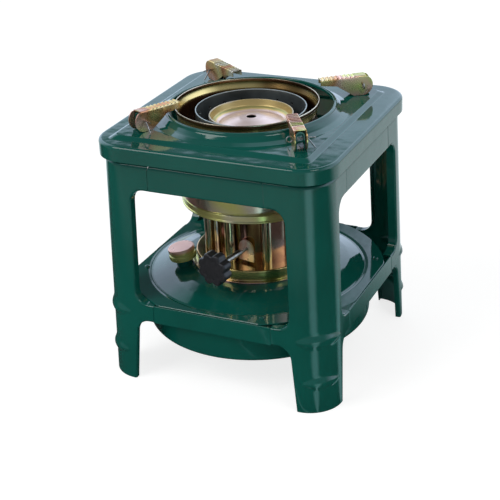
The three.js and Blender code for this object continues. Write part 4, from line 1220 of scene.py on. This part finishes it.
def support_sheet(ridges, ridge_height):
    """The outside face of a folded channel, open at its tip, below, and between its round outer cheeks"""
    reach, half, radius, bend = 40.5, 5.75, 9.9, 1.2
    tip_top, outer_top, top_length = 8.2, 9.3, 3.5
    tip_low, crease_low, crease, heel, plain = 2.7, 0.8, 25, 8.5, 7

    def top_at(x):
        return tip_top + (outer_top - tip_top) * (x + reach) / (reach + top_length)

    def bottom_at(x):
        if x < -crease:
            return tip_low + (crease_low - tip_low) * (x + reach) / (reach - crease)
        if x < -heel:
            return crease_low + (-radius - crease_low) * (x + crease) / (crease - heel)
        return -math.sqrt(max(radius ** 2 - max(x, 0) ** 2, 0))

    def inset_at(x):
        """The side walls stand a little closer together from the crease to the tip"""
        return 0.45 - 0.45 * min(max((x + crease - 1) / 3, 0), 1)

    stations = [-reach + k * 0.5 for k in range(int((reach + top_length) / 0.5) + 1)]
    beyond = [top_length + (radius - top_length) * math.sin(k / 10 * QUARTER) for k in range(1, 11)]
    points, rows = [], []
    for x in stations + beyond:
        past = x > top_length
        top = top_at(min(x, top_length)) - bend
        if past:
            top = min(top, math.sqrt(max(radius ** 2 - x ** 2, 0.02)))
        low = min(bottom_at(x), top - 0.05)
        wide = half - inset_at(x)
        wave = 0.5 + 0.5 * math.cos((x + reach) / (reach - plain) * ridges * TURN)
        lift = -ridge_height * (1 - wave) ** 2 * (x < -plain)
        left = [(wide, low + (top - low) * k / 8) for k in range(9)]
        if not past:
            for k in range(1, 5):
                angle = k * QUARTER / 4
                rise = bend * math.sin(angle) + lift * k / 4
                left.append((wide - bend * (1 - math.cos(angle)), top + rise))
            left += [(wide * share, top + bend + lift) for share in (0.4, 0)]
        ring = left + [(-y, z) for y, z in reversed(left if past else left[:-1])]
        rows.append((past, list(range(len(points), len(points) + len(ring)))))
        points += [Vector((x, y, z)) for y, z in ring]
    faces = []
    for (low_past, low), (high_past, high) in zip(rows, rows[1:]):
        if low_past != high_past:
            low = low[:9] + low[-9:]
        for k in range(len(low) - 1):
            if not (high_past and k == 8):
                faces.append((low[k], low[k + 1], high[k + 1], high[k]))
    return points, faces


def thickened(made):
    """Gives an open sheet its thickness inwards"""
    wall = made.modifiers.new("Sheet thickness", "SOLIDIFY")
    wall.thickness = SHEET * MM
    wall.offset = -1
    wall.use_even_offset = True
    return settled(made, wall)


def split_pin_shape():
    """A folded wire: an eye at -Y, two halves through the holes, then one leg straight and one bent down"""
    end, wire, eye = 6.65, 0.6, 2.6
    centre = Vector((0, -end - eye * 0.8, 0))
    straight = [Vector((0, end + 2.5 * k, 0.5 - 0.05 * k * k)) for k in range(1, 4)]
    bent = [Vector((0, end + 0.9, -0.9)), Vector((0.2, end + 3.2, -4)), Vector((0.5, end + 6.8, -9.2))]
    shapes = []
    for way, leg in ((1, straight), (-1, bent)):
        loop = [centre + Vector((0, math.sin(angle), way * math.cos(angle))) * eye
                for angle in [k * 0.21 - QUARTER for k in range(13)]]
        halfway = [Vector((0, along, way * wire * 0.9)) for along in (-end, 0, end)]
        shapes.append(wire_shape(loop + halfway + leg, wire))
    return together(*shapes)


class STOVE_OT_pot_supports(bpy.types.Operator):
    """Build the four folding pot supports, their brackets and their split pins"""

    bl_idname = "stove.pot_supports"
    bl_label = "Pot supports"

    def execute(self, context):
        sizes = context.scene.stove_sizes
        shape = support_sheet(sizes.ridge_count, sizes.ridge_height / MM)
        pin = split_pin_shape()
        pivot = Matrix.Translation((SUPPORT_CIRCLE, 0, SUPPORT_PIVOT))
        for index, turn in enumerate(SUPPORT_TURNS):
            corner = Matrix.Rotation((index - 0.5) * QUARTER, 4, "Z")
            place = corner @ (pivot @ Matrix.Rotation(math.radians(turn), 4, "Z"))
            number = str(index + 1)
            sheet = thickened(new_object("pot_support_" + number + "_looks", shape, place))
            fitted(sheet, "zinc_pressed", "support_" + number, ["pot_support_" + number], 50)
            add_piece("split_pin_" + number, pin, "bright_steel", place, sharp_angle=60)
            softened("support_bracket_" + number, "enamel", "stove", 0.3)
        return {"FINISHED"}


# Floor, lamps and camera

def light_world():
    """A world that is white to the camera and gentler as a light

    Gloss sees a pale band above the horizon with a dark ceiling over it.
    """
    world = bpy.data.worlds.new("Studio")
    bpy.context.scene.world = world
    world.use_nodes = True
    graph = Graph(world.node_tree)
    path = graph.add("ShaderNodeLightPath").outputs
    way = graph.parts(graph.add("ShaderNodeTexCoord").outputs["Generated"])
    band = graph.remap(graph.math("MULTIPLY_ADD", way["X"], -0.17, way["Z"]), 0.436, 0.421)
    beside = graph.remap(graph.math("ABSOLUTE", graph.math("ADD", way["X"], 0.42)), 0.08, 0.14)
    low = graph.remap(way["Z"], 0.85, 0.6)
    behind = graph.remap(way["Y"], -0.3, 0.2, 0.08, 1)
    sides = graph.math("MULTIPLY", graph.math("MULTIPLY", beside, low), 1.5)
    bright = graph.math("MULTIPLY", graph.math("MAXIMUM", band, sides), behind)
    ceiling = graph.math("MULTIPLY_ADD", bright, 1.05, 0.13)
    mirrored = graph.math("MAXIMUM", path["Is Glossy Ray"], path["Is Transmission Ray"])
    plain = graph.remap(path["Is Camera Ray"], 0, 1, 0.38, 1)
    strength = graph.add("ShaderNodeMix", {"Factor": mirrored, "A": plain, "B": ceiling}).outputs["Result"]
    back = world.node_tree.nodes["Background"]
    graph.put(back, "Strength", strength)
    graph.put(back, "Color", graph.tinted(mirrored, (0, WHITE, 1), (1, (0.82, 0.98, 1.24), 1)))


def add_floor():
    """A floor that is white but for a soft shadow, and dim to gloss in front of the stove"""
    mesh = bpy.data.meshes.new("floor")
    mesh.from_pydata([(-6, -6, 0), (6, -6, 0), (6, 6, 0), (-6, 6, 0)], [], [(0, 1, 2, 3)])
    floor = linked("floor", mesh)
    made = Surface("Pale floor", (0.9, 0.9, 0.9), 0.95, 0, Specular_IOR_Level=0)
    path = made.add("ShaderNodeLightPath").outputs
    along = made.parts(made.place)["Y"]
    mirrored = made.math("MULTIPLY", path["Is Glossy Ray"], made.remap(along, 0.06, 0.26))
    seen = made.math("MAXIMUM", path["Is Camera Ray"], mirrored)
    ahead = made.math("SUBTRACT", path["Is Glossy Ray"], mirrored)
    grain = made.remap(made.noise(3), 0, 1, 0.88, 0.92)
    pale = made.math("SUBTRACT", grain, made.math("MULTIPLY", seen, 0.5))
    far = made.remap(along, -0.3, -0.5, -0.84, -0.55)
    strips = 0
    for start, (way_x, way_y), strength in FLOOR_STRIPS:
        from_start = made.vector("SUBTRACT", made.place, (*start, 0))
        aside = made.vector("DOT_PRODUCT", from_start, (way_y, -way_x, 0))
        onward = made.vector("DOT_PRODUCT", from_start, (way_x, way_y, 0))
        off = made.math("DIVIDE", made.math("ABSOLUTE", aside), made.math("MAXIMUM", onward, 0.004))
        strips = made.math("MULTIPLY_ADD", made.remap(off, 0.32, 0.1), strength, strips)
    kind = made.math("MULTIPLY_ADD", mirrored, 0.5, ahead)
    made.dress(
        Base_Color=made.math("MULTIPLY_ADD", ahead, far, pale),
        Emission_Color=made.tinted(kind, (0, WHITE, 1), (0.5, (0.78, 0.94, 1), 1), (1, (0.5, 0.95, 1), 1)),
        Emission_Strength=made.math("MULTIPLY_ADD", seen, 0.78, made.math("MULTIPLY", strips, ahead)))
    mesh.materials.append(made.material)


def add_lamp(name, place, target, size, energy, colour=WHITE):
    light = bpy.data.lights.new(name, "AREA")
    light.shape = "DISK"
    light.size = size
    light.energy = energy
    light.color = colour
    lamp = linked(name, light)
    lamp.location = place
    lamp.rotation_euler = (Vector(target) - Vector(place)).to_track_quat("-Z", "Y").to_euler()
    return lamp


def add_camera():
    azimuth, elevation, roll = (math.radians(v) for v in (CAMERA_AZIMUTH, CAMERA_ELEVATION, CAMERA_ROLL))
    level = math.cos(elevation)
    back = Vector((math.sin(azimuth) * level, -math.cos(azimuth) * level, math.sin(elevation)))
    right = Vector((math.cos(azimuth), math.sin(azimuth), 0))
    up = back.cross(right)
    across = right * math.cos(roll) + up * math.sin(roll)
    upright = up * math.cos(roll) - right * math.sin(roll)
    lens = bpy.data.cameras.new("camera")
    lens.lens = CAMERA_LENS
    lens.sensor_width = 36
    camera = linked("camera", lens)
    turn = Matrix((across, upright, back)).transposed().to_4x4()
    camera.matrix_world = Matrix.Translation(CAMERA_PLACE) @ turn
    bpy.context.scene.camera = camera


class STOVE_OT_stage(bpy.types.Operator):
    """Set the floor, the lamps, the world and the camera"""

    bl_idname = "stove.stage"
    bl_label = "Stage"

    def execute(self, context):
        context.scene.view_settings.view_transform = "Standard"
        light_world()
        add_floor()
        add_lamp("key", (-1.2, -1.5, 1.9), (0, 0, 0.15), 1.6, 25)
        add_lamp("fill", (1.5, -0.8, 2.0), (0, 0, 0.12), 1.0, 9)
        back = add_lamp("back", (-1.0, 2.2, 1.35), (0, 0, 0.2), 1.9, 14, (0.86, 0.95, 1))
        back.visible_glossy = False
        add_camera()
        return {"FINISHED"}


class STOVE_PT_panel(bpy.types.Panel):
    """The stove's builders, in the order they run"""

    bl_label = "Wick stove"
    bl_idname = "STOVE_PT_panel"
    bl_space_type = "VIEW_3D"
    bl_region_type = "UI"
    bl_category = "Stove"

    def draw(self, context):
        for group in (context.scene.stove_sizes, context.scene.stove_colours):
            for key in group.bl_rna.properties.keys()[2:]:
                self.layout.prop(group, key)
        for builder in BUILDERS:
            self.layout.operator(builder.bl_idname)


BUILDERS = (
    STOVE_OT_stage,
    STOVE_OT_frame,
    STOVE_OT_cover,
    STOVE_OT_tank,
    STOVE_OT_filler,
    STOVE_OT_gallery,
    STOVE_OT_wick_drive,
    STOVE_OT_wicks,
    STOVE_OT_burner_set,
    STOVE_OT_dish,
    STOVE_OT_pot_supports,
)
CLASSES = (StoveSizes, StoveColours, *BUILDERS, STOVE_PT_panel)


def register():
    for each in CLASSES:
        bpy.utils.register_class(each)
    bpy.types.Scene.stove_sizes = bpy.props.PointerProperty(type=StoveSizes)
    bpy.types.Scene.stove_colours = bpy.props.PointerProperty(type=StoveColours)


def unregister():
    del bpy.types.Scene.stove_colours
    del bpy.types.Scene.stove_sizes
    for each in reversed(CLASSES):
        bpy.utils.unregister_class(each)


def main():
    register()
    for builder in BUILDERS:
        group, name = builder.bl_idname.split(".")
        getattr(getattr(bpy.ops, group), name)()


if __name__ == "__main__":
    main()
